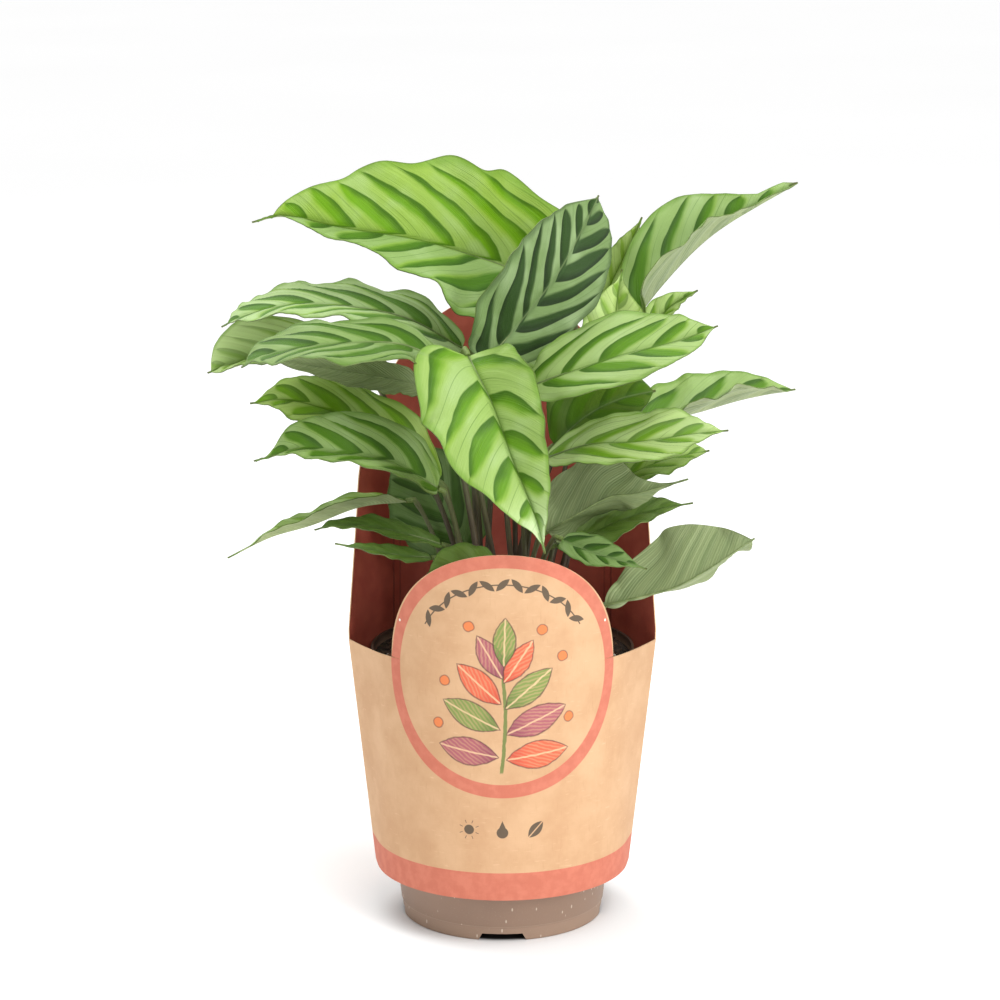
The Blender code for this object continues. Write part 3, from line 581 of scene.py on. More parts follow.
def draw_blade_tree():
    graph, given = new_tree("Leaf blade", BLADE_INPUTS)
    line = graph.step("MeshToCurve", given["Geometry"])
    position, tangent = graph.step("InputPosition"), graph.step("InputTangent")
    travelled = graph.node("GeometryNodeSplineParameter")

    grid = graph.step("MeshGrid", None, {"Size X": 1.0, "Size Y": 2.0, "Vertices X": given["Rows"],
                                         "Vertices Y": given["Columns"]})
    along, across, _ = parts(position)
    run = along + 0.5
    row = graph.node("FunctionNodeFloatToInt", {"Float": run * (given["Rows"] - 1)},
                     rounding_mode="ROUND")["Integer"]

    def at_midrib(field, kind):
        return graph.step("SampleIndex", line, {"Value": field, "Index": row}, data_type=kind)

    way = at_midrib(tangent, "FLOAT_VECTOR").do("NORMALIZE")
    walked = at_midrib(travelled["Length"], "FLOAT")
    to_front = front_of(way)
    to_left = to_front.do("CROSS_PRODUCT", way)

    # the outline: half the width here, on either hand of the midrib
    ends = (run / 0.12).do("MINIMUM", (1 - run) / 0.12).do("MINIMUM", 1.0).do("MAXIMUM", 0.0)
    hand = 1 - 2 * across.do("LESS_THAN", 0.0)
    broad_run = (run / (1 - given["Drip"])).do("MINIMUM", 1.0)
    peak = given["Peak"] * (1 - given["Skew"] * hand)
    swell = (math.pi * broad_run ** (math.log(0.5) / peak.do("LOGARITHM", math.e))).do("SINE")
    outline = swell.do("MAXIMUM", 0.0) ** (0.66 + given["Tail"] * run * run)
    share = 1 + given["Uneven"] * hand * (1 - run)
    ribbon = given["Ribbon"] * smooth(run, 0.6, 0.8) * ((1 - run) / 0.04).do("MINIMUM", 1.0)
    half = (given["Width"] / 2 * outline * share).do("MAXIMUM", ribbon).do("MAXIMUM", 0.35 * MM)
    reach = abs(across)
    scallop = (math.tau * 1.2 * given["Waves"] * run + 1.7 * given["Phase"] + 0.9 * hand).do("SINE")
    lateral = half * reach * (1 + given["Scallop"] * reach ** 3 * scallop * ends)

    # which way that half leans
    tilt = given["Tilt"] * (1 - run) + given["Tip tilt"] * run + given["Twist"] * (1 - run) ** 5
    fold = given["Fold"] * (1 - run) + given["Tip fold"] * run
    lift = fold * ends + hand * tilt
    lean, rise = lift.do("SINE"), lift.do("COSINE")
    outward = to_left * (hand * rise) + to_front * lean
    normal = to_front * rise - to_left * (hand * lean)

    # how far each point rises from it: waves, arch, pleats on the veins, and the rib's channel
    wave = 0.07 * (math.tau * (given["Waves"] * run - 0.45 * reach) + given["Phase"]
                   + 2.4 * across.do("LESS_THAN", 0.0)).do("SINE")
    arch = 0.16 * given["Side"] * reach * (1 - 0.75 * reach)

    swept = given["Sweep"] * lateral * (0.62 + 1.9 * lateral / given["Width"])
    vein = (walked - swept) / (1 + 0.7 * lateral / given["Length"])
    count = vein / given["Spacing"] + 0.45 * across.do("LESS_THAN", 0.0) + given["Seed"]
    roomy = smooth(half, 2 * MM, 9 * MM) * smooth(reach, 0.02, 0.25)
    pleat = given["Pleat"] * roomy * (math.tau * count).do("COSINE")
    fine_pleat = 0.3 * given["Pleat"] * roomy * (3 * math.tau * count + 1).do("COSINE")
    ruffle = 0.35 * MM * reach ** 5 * (math.tau * 2.6 * given["Waves"] * run + 1).do("SINE") * ends
    channel = 0.45 * MM * smooth(lateral, 2.2 * MM, 0.0) * given["Side"]
    lifted = half * (wave * reach ** 1.6 + arch) + pleat + fine_pleat + ruffle - channel
    lobe = given["Lobe"] * half * reach ** 2 * (1 - run) ** 8 * (1 + 2 * given["Uneven"] * hand)
    place = at_midrib(position, "FLOAT_VECTOR") + outward * lateral + normal * lifted - way * lobe

    # what the paint will read
    # painted sheen: the half past the midrib is made less warm, which greys it as a sheen would
    warmth = given["Warmth"] * (1 - given["Cool"] * across.do("GREATER_THAN", 0.0))
    # painted sheen: the tip's extra paleness whitens the blade towards its tip
    pale = given["Pale"] + given["Tip pale"] * smooth(run, 0.66, 0.90)
    for name, told in (("vein_grid", (count, lateral * hand, reach)),
                       ("leaf_habit", (given["Depth"], warmth, run)),
                       ("stroke_habit", (given["Breadth"], given["Strength"], pale))):
        grid = graph.note(grid, name, vector(*told))

    # the sheet gets its thickness, and the rib joins it
    sheet = graph.step("SetPosition", grid, {"Position": place})
    lowered = graph.step("SetPosition", sheet, {
        "Offset": graph.step("InputNormal") * (given["Thickness"] * -0.5)})
    front = graph.node("GeometryNodeExtrudeMesh", {
        "Mesh": lowered, "Offset Scale": given["Thickness"], "Individual": False}, mode="FACES")
    joined = graph.step("JoinGeometry", [front["Mesh"], graph.step("FlipFaces", lowered)])
    body = graph.step("MergeByDistance", joined, {"Distance": 0.01 * MM})

    sunk = graph.step("SetPosition", line, {
        "Offset": front_of(tangent) * (given["Side"] * -0.75 * MM)})
    thinned = given["Rib radius"] * (1 - 0.72 * travelled["Factor"])
    ring = graph.step("CurvePrimitiveCircle", None, {"Resolution": 10, "Radius": 1.0})
    rib = graph.step("CurveToMesh", sunk, {"Fill Caps": True, "Scale": thinned,
                                           "Profile Curve": ring})
    marked = graph.note(rib, "is_rib", True, "BOOLEAN", "FACE")

    leaf = graph.step("RealizeInstances", graph.step("JoinGeometry", [body, marked]))
    is_rib = graph.step("InputNamedAttribute", "is_rib", data_type="BOOLEAN")
    for chosen, finish in ((True, "Back face"), (front["Top"], "Front face"),
                           (front["Side"], "Margin"), (is_rib, "Rib")):
        leaf = graph.step("SetMaterial", leaf, {"Selection": chosen, "Material": given[finish]})
    graph.node("NodeGroupOutput", {"Geometry": leaf})
    print("blade tree:", len(graph.tree.nodes), "nodes")
    return graph.tree


blade_tree = draw_blade_tree()

# %% [markdown]
# ## The leaf's upper face
#
# What makes this plant is paint: dark feather strokes that leave the midrib along every main side
# vein, on a ground of pale green. An image could carry them, but a stroke is easy to say in vein
# coordinates. Across the veins it is a narrow band; along them it swells and runs out in a point
# before the margin. Each stroke gets its own length by chance, its basal side is darkest and its
# far side glows yellow green. Thin vein lines, a greener margin and a fine midrib line finish it.

# %% The leaf's upper face
def leaf_coordinates(graph):
    """Vein count, distance from the midrib, reach to the margin, and the leaf's habit."""
    names = ("vein_grid", "leaf_habit", "stroke_habit")
    told = [parts(graph.node("ShaderNodeAttribute", attribute_name=name)["Vector"])
            for name in names]
    return [*told[0], *told[1], *told[2]]


def feather_strokes(place, count, lateral, reach, breadth, pale):
    """The strokes' mask, the way in from the basal edge, and where each point lies in its cell."""
    side = lateral.do("SIGN")
    wander = cloud(place, 40.0) - 0.5
    bristle = cloud(vector(count * 9.0, lateral * 90.0, side), 1.0, 3.0) - 0.5
    moved = count + wander * 0.50
    number = moved.do("FLOOR")
    aside = moved.do("FRACT") - 0.5
    luck = chance(vector(number, side, 3.0))
    other_luck = chance(vector(number, side, 8.0))
    end = 0.80 + 0.20 * luck - 0.12 * pale
    share = (reach / end).do("MINIMUM", 1.0)
    swell = ((0.18 + 0.82 * share ** 1.1) * math.pi).do("SINE").do("MAXIMUM", 0.0) ** 0.75
    half = swell * breadth * (0.17 + 0.15 * other_luck)
    from_basal = aside + half + bristle * 0.05
    mask = smooth(from_basal, -0.02, 0.03) * smooth(aside - half + bristle * 0.10, 0.09, -0.09)
    return mask, from_basal, aside, half, share


def upper_face():
    graph, place = start_material("leaf upper face")
    count, lateral, reach, depth, warmth, run, breadth, strength, pale = leaf_coordinates(graph)
    mask, from_basal, aside, half, share = feather_strokes(place, count, lateral, reach, breadth,
                                                           pale)
    broad, patch = cloud(place, 26.0), cloud(place, 55.0)
    streaks = cloud(vector(count * 26.0, lateral * 55.0, lateral.do("SIGN")), 1.0, 3.0)
    threads = smooth(streaks, 0.36, 0.64)
    # painted sheen: where pale goes past 1, mostly near a leaf's tip, the ground turns whitish and
    # its strokes fade
    bleached = smooth(pale, 1.0, 2.0)

    # the ground: a painted sheen in silvery patches, yellow green beyond each stroke, with thin
    # vein lines
    # painted sheen: pale silvery patches over the ground, and over the dark leaves' ground as well
    silver = smooth(patch, 0.42, 0.72) * 0.40
    glow = smooth(aside - half, 0.20, 0.02) * aside.do("GREATER_THAN", 0.0) \
        * smooth(broad, 0.32, 0.6) * (1 - depth)
    deep = mix(warmth, mix(silver * 2, (126, 152, 96), (164, 188, 138)), (50, 82, 8))
    seam = smooth(abs((count + 0.5).do("FRACT") - 0.5), 0.020, 0.004) * smooth(broad, 0.3, 0.6)
    ground = paint(mix(warmth, (143, 172, 108), (150, 182, 74)),
                   (pale, mix(warmth, (172, 198, 142), (186, 210, 130))),
                   (silver, (178, 202, 146)),
                   (bleached * 0.85, (208, 228, 180)),
                   (glow * 0.7, (128, 168, 26)),
                   (depth, deep),
                   ((1 - threads) * 0.09, (88, 124, 40)),
                   (seam * 0.5, (66, 98, 34)))

    # the strokes: dark along their basal side, more vivid towards the other
    dark = mix(depth, mix(warmth, (44, 84, 22), (58, 104, 4)),
               mix(warmth, (20, 36, 18), (34, 64, 6)))
    vivid = mix(depth, mix(warmth, (68, 114, 34), (108, 160, 6)),
                mix(warmth, (38, 62, 28), (58, 100, 8)))
    inside = from_basal + (broad - 0.5) * 0.5 + (patch - 0.5) * 0.4
    stroke = mix((1 - threads) * 0.14, mix(smooth(inside, 0.0, 0.34), dark, vivid), (38, 72, 14))

    # what lies over both: a line past each stroke's end, the margin, the midrib and the tip
    trailing = smooth(abs(aside), 0.020, 0.004) * smooth(share, 0.85, 1.0)
    rim = smooth(reach + (cloud(place, 120.0) - 0.5) * 0.08, 0.86, 0.97)
    colour = paint(ground, (mask * strength * (1 - bleached * 0.6) * 0.95, stroke),
                   (trailing * 0.4, (74, 106, 36)),
                   (rim * 0.55, mix(depth, (104, 148, 40), (52, 78, 38))),
                   (smooth(reach, 0.972, 0.995) * 0.5, (72, 92, 38)),
                   (smooth(abs(lateral), 2.2 * MM, 0.6 * MM) * 0.25,
                    mix(depth, (94, 134, 36), (84, 112, 70))),
                   (smooth(abs(lateral), 0.50 * MM, 0.25 * MM) * 0.6,
                    mix(depth, (84, 118, 40), (118, 138, 90))),
                   (smooth(run, 0.955, 1.0) * 0.8, (78, 66, 38)))

    grain = cloud(place, 900.0, 3.0)
    height = threads * 0.7 + grain * 0.25 + mask * 0.2
    # painted light: the face glows faintly yellow green through its emission, standing in for light
    # shining through the blade; dark leaves glow least
    glow = mix(depth, mix(warmth, (84, 108, 50), (118, 156, 8)), (30, 46, 4))
    return end_material(graph, colour, 0.24 + grain * 0.12 + mask * 0.04, height, 0.12, {
        "Specular IOR Level": 0.14, "Emission Color": glow, "Emission Strength": 0.07})


# %% [markdown]
# ## The leaf's underside, margin and rib
#
# The underside is duller and greyer than the face, with close raised veins, and the strokes show
# through only faintly. It reads the same vein grid. The margin is the thin edge of the blade,
# drawn a shade browner, and the rib is the midrib's round back.

# %% The leaf's underside, margin and rib
def underside():
    graph, place = start_material("leaf underside")
    count, lateral, reach, depth, warmth, run, breadth, strength, pale = leaf_coordinates(graph)
    mask = feather_strokes(place, count, lateral, reach, breadth, pale)[0]
    ribs = (count * math.tau * 7 + cloud(place, 120.0) * 3).do("SINE") * 0.5 + 0.5
    streaks = cloud(vector(count * 14.0, lateral * 30.0, 0.0), 1.0, 3.0)
    colour = paint(mix(depth, (156, 171, 120), (92, 112, 54)),
                   (smooth(cloud(place, 30.0), 0.4, 0.7) * 0.4, (130, 144, 96)),
                   (mask * strength * 0.45, (76, 104, 54)),
                   (smooth(streaks, 0.35, 0.7) * 0.40, (182, 196, 146)),
                   (ribs ** 2 * 0.10, (80, 98, 58)))
    grain = cloud(place, 700.0, 3.0)
    return end_material(graph, colour, 0.5 + grain * 0.15, ribs + grain * 0.3, 0.10)


def green_skin(name, low, high):
    """A plain living skin between two greens, with a grain that runs anywhere."""
    graph, place = start_material(name)
    patches = cloud(place, 220.0, 3.0)
    return end_material(graph, mix(smooth(patches, 0.3, 0.7), low, high), 0.42 + patches * 0.2,
                        patches, 0.05)


leaf_face, leaf_back = upper_face(), underside()
leaf_margin = green_skin("leaf margin", (72, 88, 40), (112, 134, 62))
leaf_rib = green_skin("midrib", (100, 118, 66), (134, 150, 96))


# %% [markdown]
# ## Growing the blades
#
# Each leaf's line and habit go into the tree, and the result replaces its solid. The number of
# rows follows the leaf's length and the columns its width, so that every facet is about a
# millimetre and a bit, whatever the leaf.

# %% Growing the blades
FACET, SHEET, RIB = 1.25, 0.4, 0.35


def grow_blade(number, leaf):
    length = length_of(midrib_line(leaf["midrib"], 24))
    steps, columns = [int(min(max(round(size / FACET), fewest), most))
                      for size, fewest, most in ((length, 36, 140), (leaf["width"] / 2, 7, 28))]
    front_up = leaf["side"] > 0
    faces = (leaf_face, leaf_back) if front_up else (leaf_back, leaf_face)
    measures = {**leaf, **dict(zip(HABIT_NAMES, HABITS[number])), "length": length,
                "thickness": SHEET, "pleat": 0.3 if front_up else 0.12,
                "rib_radius": RIB + 0.006 * leaf["width"],
                "phase": 1.3 * leaf["foot"][0], "seed": 10.0 + number * 0.37}

    def measure(title):
        value = measures[title.lower().replace(" ", "_")]
        if title in ANGLES:
            return math.radians(value)
        return float(value * MM if title in LENGTHS else value)

    values = {title: measure(title) for title in ANGLES + LENGTHS + NUMBERS}
    values.update({"Rows": steps + 1, "Columns": 2 * columns + 1, "Front face": faces[0],
                   "Back face": faces[1], "Margin": leaf_margin, "Rib": leaf_rib})
    line = line_mesh(midrib_line(leaf["midrib"], steps))
    piece = grow(f"blade_{number:02d}", line, blade_tree, values)
    soften(piece, 70)
    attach(piece, "root")
    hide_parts(f"leaf_{number:02d}_blade")
    "dark_leaf" if number in (2, 17, 18) else "light_leaf"
    return len(piece.data.polygons)


print("blade faces:", sum(grow_blade(number, leaf) for number, leaf in LEAVES.items()))

# %% [markdown]
# ## Stalks
#
# A stalk rises from its hole in the soil, wrapped at the foot by a sheath, thins upwards, and
# thickens again in a short knee just under the blade, which is how the plant turns its leaves. A
# bevelled curve has one thickness law for all; a tree that reads a girth from each point of the
# line lets sheath, stem and knee be one smooth tube.

# %% Stalk routes
SOIL_LEVEL, HOLE_DEPTH, SEAT_GAP = 115.0, 9.0, 0.3
UP = np.array([0.0, 0.0, 1.0])


def stalk_route(leaf):
    """Places from inside the soil hole up to the blade's base, in millimetres."""
    start = midrib_line(leaf["midrib"], 200)
    base, way = start[0], (start[1] - start[0]) / np.linalg.norm(start[1] - start[0])
    near, end = base - way * 4.0, base - way * 0.2
    foot = np.array([*leaf["foot"], SOIL_LEVEL - HOLE_DEPTH + 2 * SEAT_GAP])
    rise = near[2] - foot[2]
    straight = foot + UP * (HOLE_DEPTH + 1.0)
    pull = 0.4 * way + 0.6 * UP
    from_foot = foot + UP * 0.45 * rise
    to_blade = near - pull / np.linalg.norm(pull) * 0.3 * rise
    bend = [(1 - u) ** 3 * straight + 3 * (1 - u) ** 2 * u * from_foot
            + 3 * (1 - u) * u ** 2 * to_blade + u ** 3 * near for u in np.linspace(0, 1, 33)]
    return np.array([foot, (foot + straight) / 2, *bend, (near + end) / 2, end])


def stalk_girths(leaf, route):
    """Radius at each place: sheath over the soil, a thin stem, and a knee under the blade."""
    steps = np.linalg.norm(np.diff(route, axis=0), axis=1)
    walked = np.concatenate([[0.0], np.cumsum(steps)])
    left = walked[-1] - walked
    above = walked - HOLE_DEPTH
    stem = (1.0 + 0.008 * leaf["width"]) * (1 - 0.22 * walked / walked[-1])
    sheath = 1 + 0.18 * np.clip((above - 2) / 8, 0, 1) * np.clip((42 - above) / 22, 0, 1)
    knee = 1 + 0.28 * np.clip((11 - left) / 4, 0, 1) * np.clip(left / 2 + 0.6, 0, 1)
    return stem * sheath * knee


# %% The tube tree
def draw_tube_tree():
    graph, given = new_tree("Tubes along lines", {"Sides": "Int", "Finish": "Material"})
    travelled = graph.node("GeometryNodeSplineParameter")
    lines = graph.note(graph.step("MeshToCurve", given["Geometry"]), "stem_run",
                       travelled["Factor"], "FLOAT")
    girth = graph.step("InputNamedAttribute", "girth", data_type="FLOAT")
    ring = graph.step("CurvePrimitiveCircle", None, {"Resolution": given["Sides"], "Radius": 1.0})
    tubes = graph.step("CurveToMesh", lines, {"Profile Curve": ring, "Scale": girth,
                                              "Fill Caps": True})
    tubes = graph.step("SetMaterial", graph.step("RealizeInstances", tubes),
                       {"Material": given["Finish"]})
    graph.node("NodeGroupOutput", {"Geometry": tubes})
    return graph.tree


tube_tree = draw_tube_tree()


# %% Stalk skin
def stalk_skin():
    """Wine brown at the foot, olive above, green at the knee, with fine lines up the stem."""
    graph, place = start_material("stalk skin")
    factor = graph.node("ShaderNodeAttribute", attribute_name="stem_run")["Fac"]
    x, y, z = parts(place)
    lines = cloud(vector(x, y, z * 0.06), 1400.0)
    patches = cloud(place, 90.0)
    colour = paint(mix(smooth(factor + (patches - 0.5) * 0.35, 0.15, 0.80),
                       (76, 54, 46), (88, 92, 54)),
                   (smooth(factor, 0.92, 0.98), (112, 132, 66)),
                   (smooth(lines, 0.45, 0.75) * 0.35, (46, 36, 30)))
    return end_material(graph, colour, 0.42 + lines * 0.2, lines, 0.12)


# %% Growing the stalks
def grow_stalks():
    finish = stalk_skin()
    for number, leaf in LEAVES.items():
        route = stalk_route(leaf)
        line = line_mesh(route, stalk_girths(leaf, route))
        stalk = grow(f"stalk_{number:02d}", line, tube_tree, {"Sides": 12, "Finish": finish})
        soften(stalk)
        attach(stalk, "root")
        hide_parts(f"leaf_{number:02d}_stalk")
    low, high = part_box("leaf_01_stalk")
    print("stalks:", len(LEAVES), "first solid is", round((high.z - low.z) / MM), "mm tall")


grow_stalks()

# %% [markdown]
# ## Pot
#
# The nursery pot is moulded plastic with pale flecks of recycled material in it. Its solid has
# few sides, which would show as flats under a soft light, so the same profile is turned again
# with many more. Notches in the foot ring and drain holes are cut with Booleans, as in the mould.

# %% Pot
POT_HEIGHT, RIM_HEIGHT, WALL, FLOOR_HEIGHT = 118.0, 13.0, 1.3, 4.5
FOOT_RADIUS, FOOT_RING, FOOT_STEP, EDGE = 43.2, 6.0, 0.7, 0.4
BODY_TOP, RIM_RADIUS, RIM_SLOPE = 54.6, 56.3, 1.5
NOTCHES, NOTCH_FOOT, NOTCH_TOP, NOTCH_HEIGHT = 4, 21.5, 17.0, 3.0
DRAINS, DRAIN_RADIUS, DRAIN_CIRCLE = 6, 3.5, 27
TURNING_STEPS = 144


def pot_profile():
    """Radius and height down the outer side and back up under the floor."""
    rim_inner, body_top = RIM_RADIUS - WALL, POT_HEIGHT - RIM_HEIGHT
    ring_inner = FOOT_RADIUS - WALL - EDGE
    foot_wall = FOOT_RADIUS + FOOT_STEP
    return [(0.0, FLOOR_HEIGHT + WALL), (foot_wall - WALL, FLOOR_HEIGHT + WALL),
            (BODY_TOP - WALL, body_top), (rim_inner, body_top + RIM_SLOPE),
            (rim_inner, POT_HEIGHT - EDGE), (rim_inner + 0.15, POT_HEIGHT - 0.1),
            (rim_inner + EDGE, POT_HEIGHT), (RIM_RADIUS - EDGE, POT_HEIGHT),
            (RIM_RADIUS - 0.1, POT_HEIGHT - 0.15), (RIM_RADIUS, POT_HEIGHT - EDGE),
            (RIM_RADIUS, body_top + EDGE), (RIM_RADIUS - EDGE, body_top), (BODY_TOP, body_top),
            (foot_wall, FOOT_RING + EDGE), (foot_wall - 0.1, FOOT_RING + 0.1),
            (FOOT_RADIUS, FOOT_RING), (FOOT_RADIUS, EDGE + 0.3), (FOOT_RADIUS - 0.1, 0.25),
            (FOOT_RADIUS - EDGE, 0.0), (ring_inner, 0.0), (ring_inner, FLOOR_HEIGHT - EDGE),
            (ring_inner - EDGE, FLOOR_HEIGHT), (0.0, FLOOR_HEIGHT)]


def turn_body(name, profile):
    mesh = bpy.data.meshes.new(name)
    mesh.from_pydata([(radius * MM, 0.0, height * MM) for radius, height in profile],
                     [(i, i + 1) for i in range(len(profile) - 1)], [])
    body = add_piece(name, mesh)
    screw = body.modifiers.new("Turn", "SCREW")
    screw.steps = screw.render_steps = TURNING_STEPS
    screw.use_merge_vertices, screw.merge_threshold = True, 0.00005
    return body


def cutter(name, make):
    bm = bmesh.new()
    make(bm)
    mesh = bpy.data.meshes.new(name)
    bm.to_mesh(mesh)
    bm.free()
    return add_piece(name, mesh)


def notch_blocks(bm):
    """Tapered blocks across the foot ring, wider at the floor."""
    for index in range(NOTCHES):
        turn = math.tau * index / NOTCHES
        for vert in bmesh.ops.create_cube(bm, size=1.0)["verts"]:
            low = vert.co.z < 0
            along = FOOT_RADIUS + (-6.0 if vert.co.x < 0 else 4.0)
            across = math.copysign((NOTCH_FOOT if low else NOTCH_TOP) / 2, vert.co.y)
            vert.co = Vector((along * math.cos(turn) - across * math.sin(turn),
                              along * math.sin(turn) + across * math.cos(turn),
                              -1.0 if low else NOTCH_HEIGHT)) * MM


def drain_rods(bm):
    for index in range(DRAINS):
        turn = math.tau * (index + 0.5) / DRAINS
        rod = bmesh.ops.create_cone(bm, cap_ends=True, segments=24, depth=8 * MM,
                                    radius1=DRAIN_RADIUS * MM, radius2=DRAIN_RADIUS * MM)["verts"]
        bmesh.ops.translate(bm, verts=rod, vec=Vector(
            (DRAIN_CIRCLE * math.cos(turn), DRAIN_CIRCLE * math.sin(turn), FLOOR_HEIGHT)) * MM)


def speckled_plastic():
    graph, place = start_material("speckled taupe plastic")
    x, y, z = parts(place)
    cells = graph.node("ShaderNodeTexVoronoi", {"Vector": vector(x, y, z * 0.4), "Scale": 520.0})
    rare = smooth(chance(cells["Position"]), 0.74, 0.76)
    fleck = smooth(cells["Distance"], 0.22, 0.12) * rare
    dust = cloud(place, 1500.0, 2.0)
    drift = cloud(place, 30.0)
    # painted highlight: a pale line along the step at the top of the foot ring
    step = smooth(abs(z - 6.1 * MM), 0.35 * MM, 0.12 * MM)
    # painted shade: the top of the rim, inside the sleeve, is darkened to a soil brown
    dusted = smooth(z + (drift - 0.5) * 4 * MM, 113 * MM, 117 * MM)
    colour = paint(mix(drift, (140, 114, 96), (156, 128, 108)),
                   (smooth(z, 6.4 * MM, 5.6 * MM) * 0.6, (164, 136, 115)),
                   (smooth(dust, 0.62, 0.8) * 0.4, (178, 158, 142)),
                   (step * 0.5, (184, 160, 140)),
                   (fleck * 0.85, (214, 199, 180)),
                   (dusted * 0.85, (46, 36, 28)))
    return end_material(graph, colour, 0.46 + dust * 0.12, dust + fleck * 0.4, 0.05)


def build_pot():
    body = turn_body("pot_helper", pot_profile())
    tools = [cutter("notch_cutter", notch_blocks), cutter("drain_cutter", drain_rods)]
    for tool in tools:
        carve = body.modifiers.new("Cut", "BOOLEAN")
        carve.operation, carve.object, carve.solver = "DIFFERENCE", tool, "EXACT"
    pot = settle(body, "nursery_pot")
    for tool in tools:
        bpy.data.objects.remove(tool, do_unlink=True)
    pot.data.materials.clear()
    pot.data.materials.append(speckled_plastic())
    soften(pot, 40)
    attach(pot, "root")
    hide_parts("pot")
    print("pot faces:", len(pot.data.polygons))


build_pot()

# %% [markdown]
# ## Soil
#
# Potting soil is dark peat with crumbs, bark bits and a few white grains. The bed itself is the
# solid's own turned shape with a lumpy top. A tree then scatters crumbs over it from a fixed
# seed, because hundreds of small lumps by hand would never look thrown.

# %% Soil bed
SOIL_RADIUS = RIM_RADIUS - WALL - SEAT_GAP


def soil_bed():
    wall = WALL + SEAT_GAP
    bottom, body_top = FLOOR_HEIGHT + WALL + SEAT_GAP, POT_HEIGHT - RIM_HEIGHT
    profile = [(radius, SOIL_LEVEL) for radius in np.linspace(0, SOIL_RADIUS - 2, 34)]
    profile += [(SOIL_RADIUS, SOIL_LEVEL - 0.8), (SOIL_RADIUS, body_top + RIM_SLOPE + SEAT_GAP),
                (BODY_TOP - wall, body_top), (FOOT_RADIUS + FOOT_STEP - wall, bottom),
                (0.0, bottom)]
    bed = settle(turn_body("soil_helper", profile), "soil_bed")
    for vert in bed.data.vertices:
        if vert.co.z > (SOIL_LEVEL - 0.4) * MM:
            lumps = noise.noise(vert.co / (14 * MM)) + 0.7 * noise.noise(vert.co / (3.4 * MM))
            vert.co.z += lumps * 0.9 * MM
    return bed


def earth(name, low, high, scale):
    graph, place = start_material(name)
    crumbs = cloud(place, scale, 6.0, 0.65)
    fibres = cloud(place, scale * 5, 2.0)
    colour = mix(smooth(crumbs, 0.35, 0.7), low, high)
    colour = mix(smooth(fibres, 0.62, 0.8) * 0.5, colour, (122, 96, 68))
    return end_material(graph, colour, 0.85 + fibres * 0.15, crumbs + fibres * 0.4, 0.8)


# %% Crumbs on the soil
def draw_crumb_tree():
    graph, given = new_tree("Scattered crumbs", {
        "Density": "Float", "Seed": "Int", "Smallest": "Float", "Largest": "Float",
        "Lift": "Float", "Finish": "Material"})
    x, y, z = parts(graph.step("InputPosition"))
    out = far(x, y)
    on_top = z.do("GREATER_THAN", (SOIL_LEVEL - 3) * MM) \
        * out.do("LESS_THAN", (SOIL_RADIUS - 3) * MM)
    spots = graph.step("DistributePointsOnFaces", given["Geometry"], {
        "Selection": on_top, "Density": given["Density"], "Seed": given["Seed"]})
    lump = graph.step("MeshIcoSphere", None, {"Radius": 1.0, "Subdivisions": 1})

    def random(kind, low, high, seed):
        names = {"FLOAT": ("Min_001", "Max_001", "Value_001"),
                 "FLOAT_VECTOR": ("Min", "Max", "Value")}[kind]
        return graph.node("FunctionNodeRandomValue", {names[0]: low, names[1]: high, "Seed": seed},
                          data_type=kind)[names[2]]

    size = random("FLOAT", given["Smallest"], given["Largest"], 1)
    squash = random("FLOAT_VECTOR", (0.7, 0.7, 0.45), (1.3, 1.1, 0.9), 2)
    euler = random("FLOAT_VECTOR", (-0.6, -0.6, 0.0), (0.6, 0.6, math.tau), 3)
    turn = graph.node("FunctionNodeEulerToRotation", {"Euler": euler})["Rotation"]
    scattered = graph.step("InstanceOnPoints", spots, {
        "Instance": lump, "Rotation": turn, "Scale": squash * size})
    raised = graph.step("SetPosition", graph.step("RealizeInstances", scattered), {
        "Offset": vector(0.0, 0.0, given["Lift"])})
    done = graph.step("SetMaterial", raised, {"Material": given["Finish"]})
    graph.node("NodeGroupOutput", {"Geometry": done})
    return graph.tree


def lay_soil():
    bed = soil_bed()
    tree = draw_crumb_tree()
    peat = earth("peat", (24, 17, 12), (66, 48, 34), 260.0)
    for name, density, smallest, largest, finish, seed in (
            ("soil_crumbs", 170000, 0.5, 1.5,
             earth("crumbs", (30, 20, 14), (84, 60, 42), 500.0), 4),
            ("soil_bark", 16000, 1.2, 2.4,
             earth("bark", (52, 32, 20), (112, 76, 48), 300.0), 9),
            ("soil_grit", 7000, 0.5, 1.1,
             earth("white grit", (170, 165, 152), (224, 220, 208), 400.0), 12)):
        crumbs = grow(name, bed.data.copy(), tree, {
            "Density": float(density), "Seed": seed, "Smallest": smallest * MM,
            "Largest": largest * MM, "Lift": 0.1 * MM, "Finish": finish})
        soften(crumbs, 30)
        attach(crumbs, "root")
        print(name, "faces:", len(crumbs.data.polygons))
    bed.data.materials.clear()
    bed.data.materials.append(peat)
    soften(bed, 60)
    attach(bed, "root")
    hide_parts("soil")


lay_soil()

# %% [markdown]
# ## Sleeve
#
# The sleeve is one sheet of kraft card, folded flat and creased at its two sides, then opened
# round the pot, so its plan is a circle drawn out to two corners. A round tab stands up from its
# front and a tall arched panel from its back. It is laid here as four fine patches on the same
# plan as the solid. Each point also keeps its place in the flat printed sheet as a UV pair in
# metres, so that the print wraps with the card.

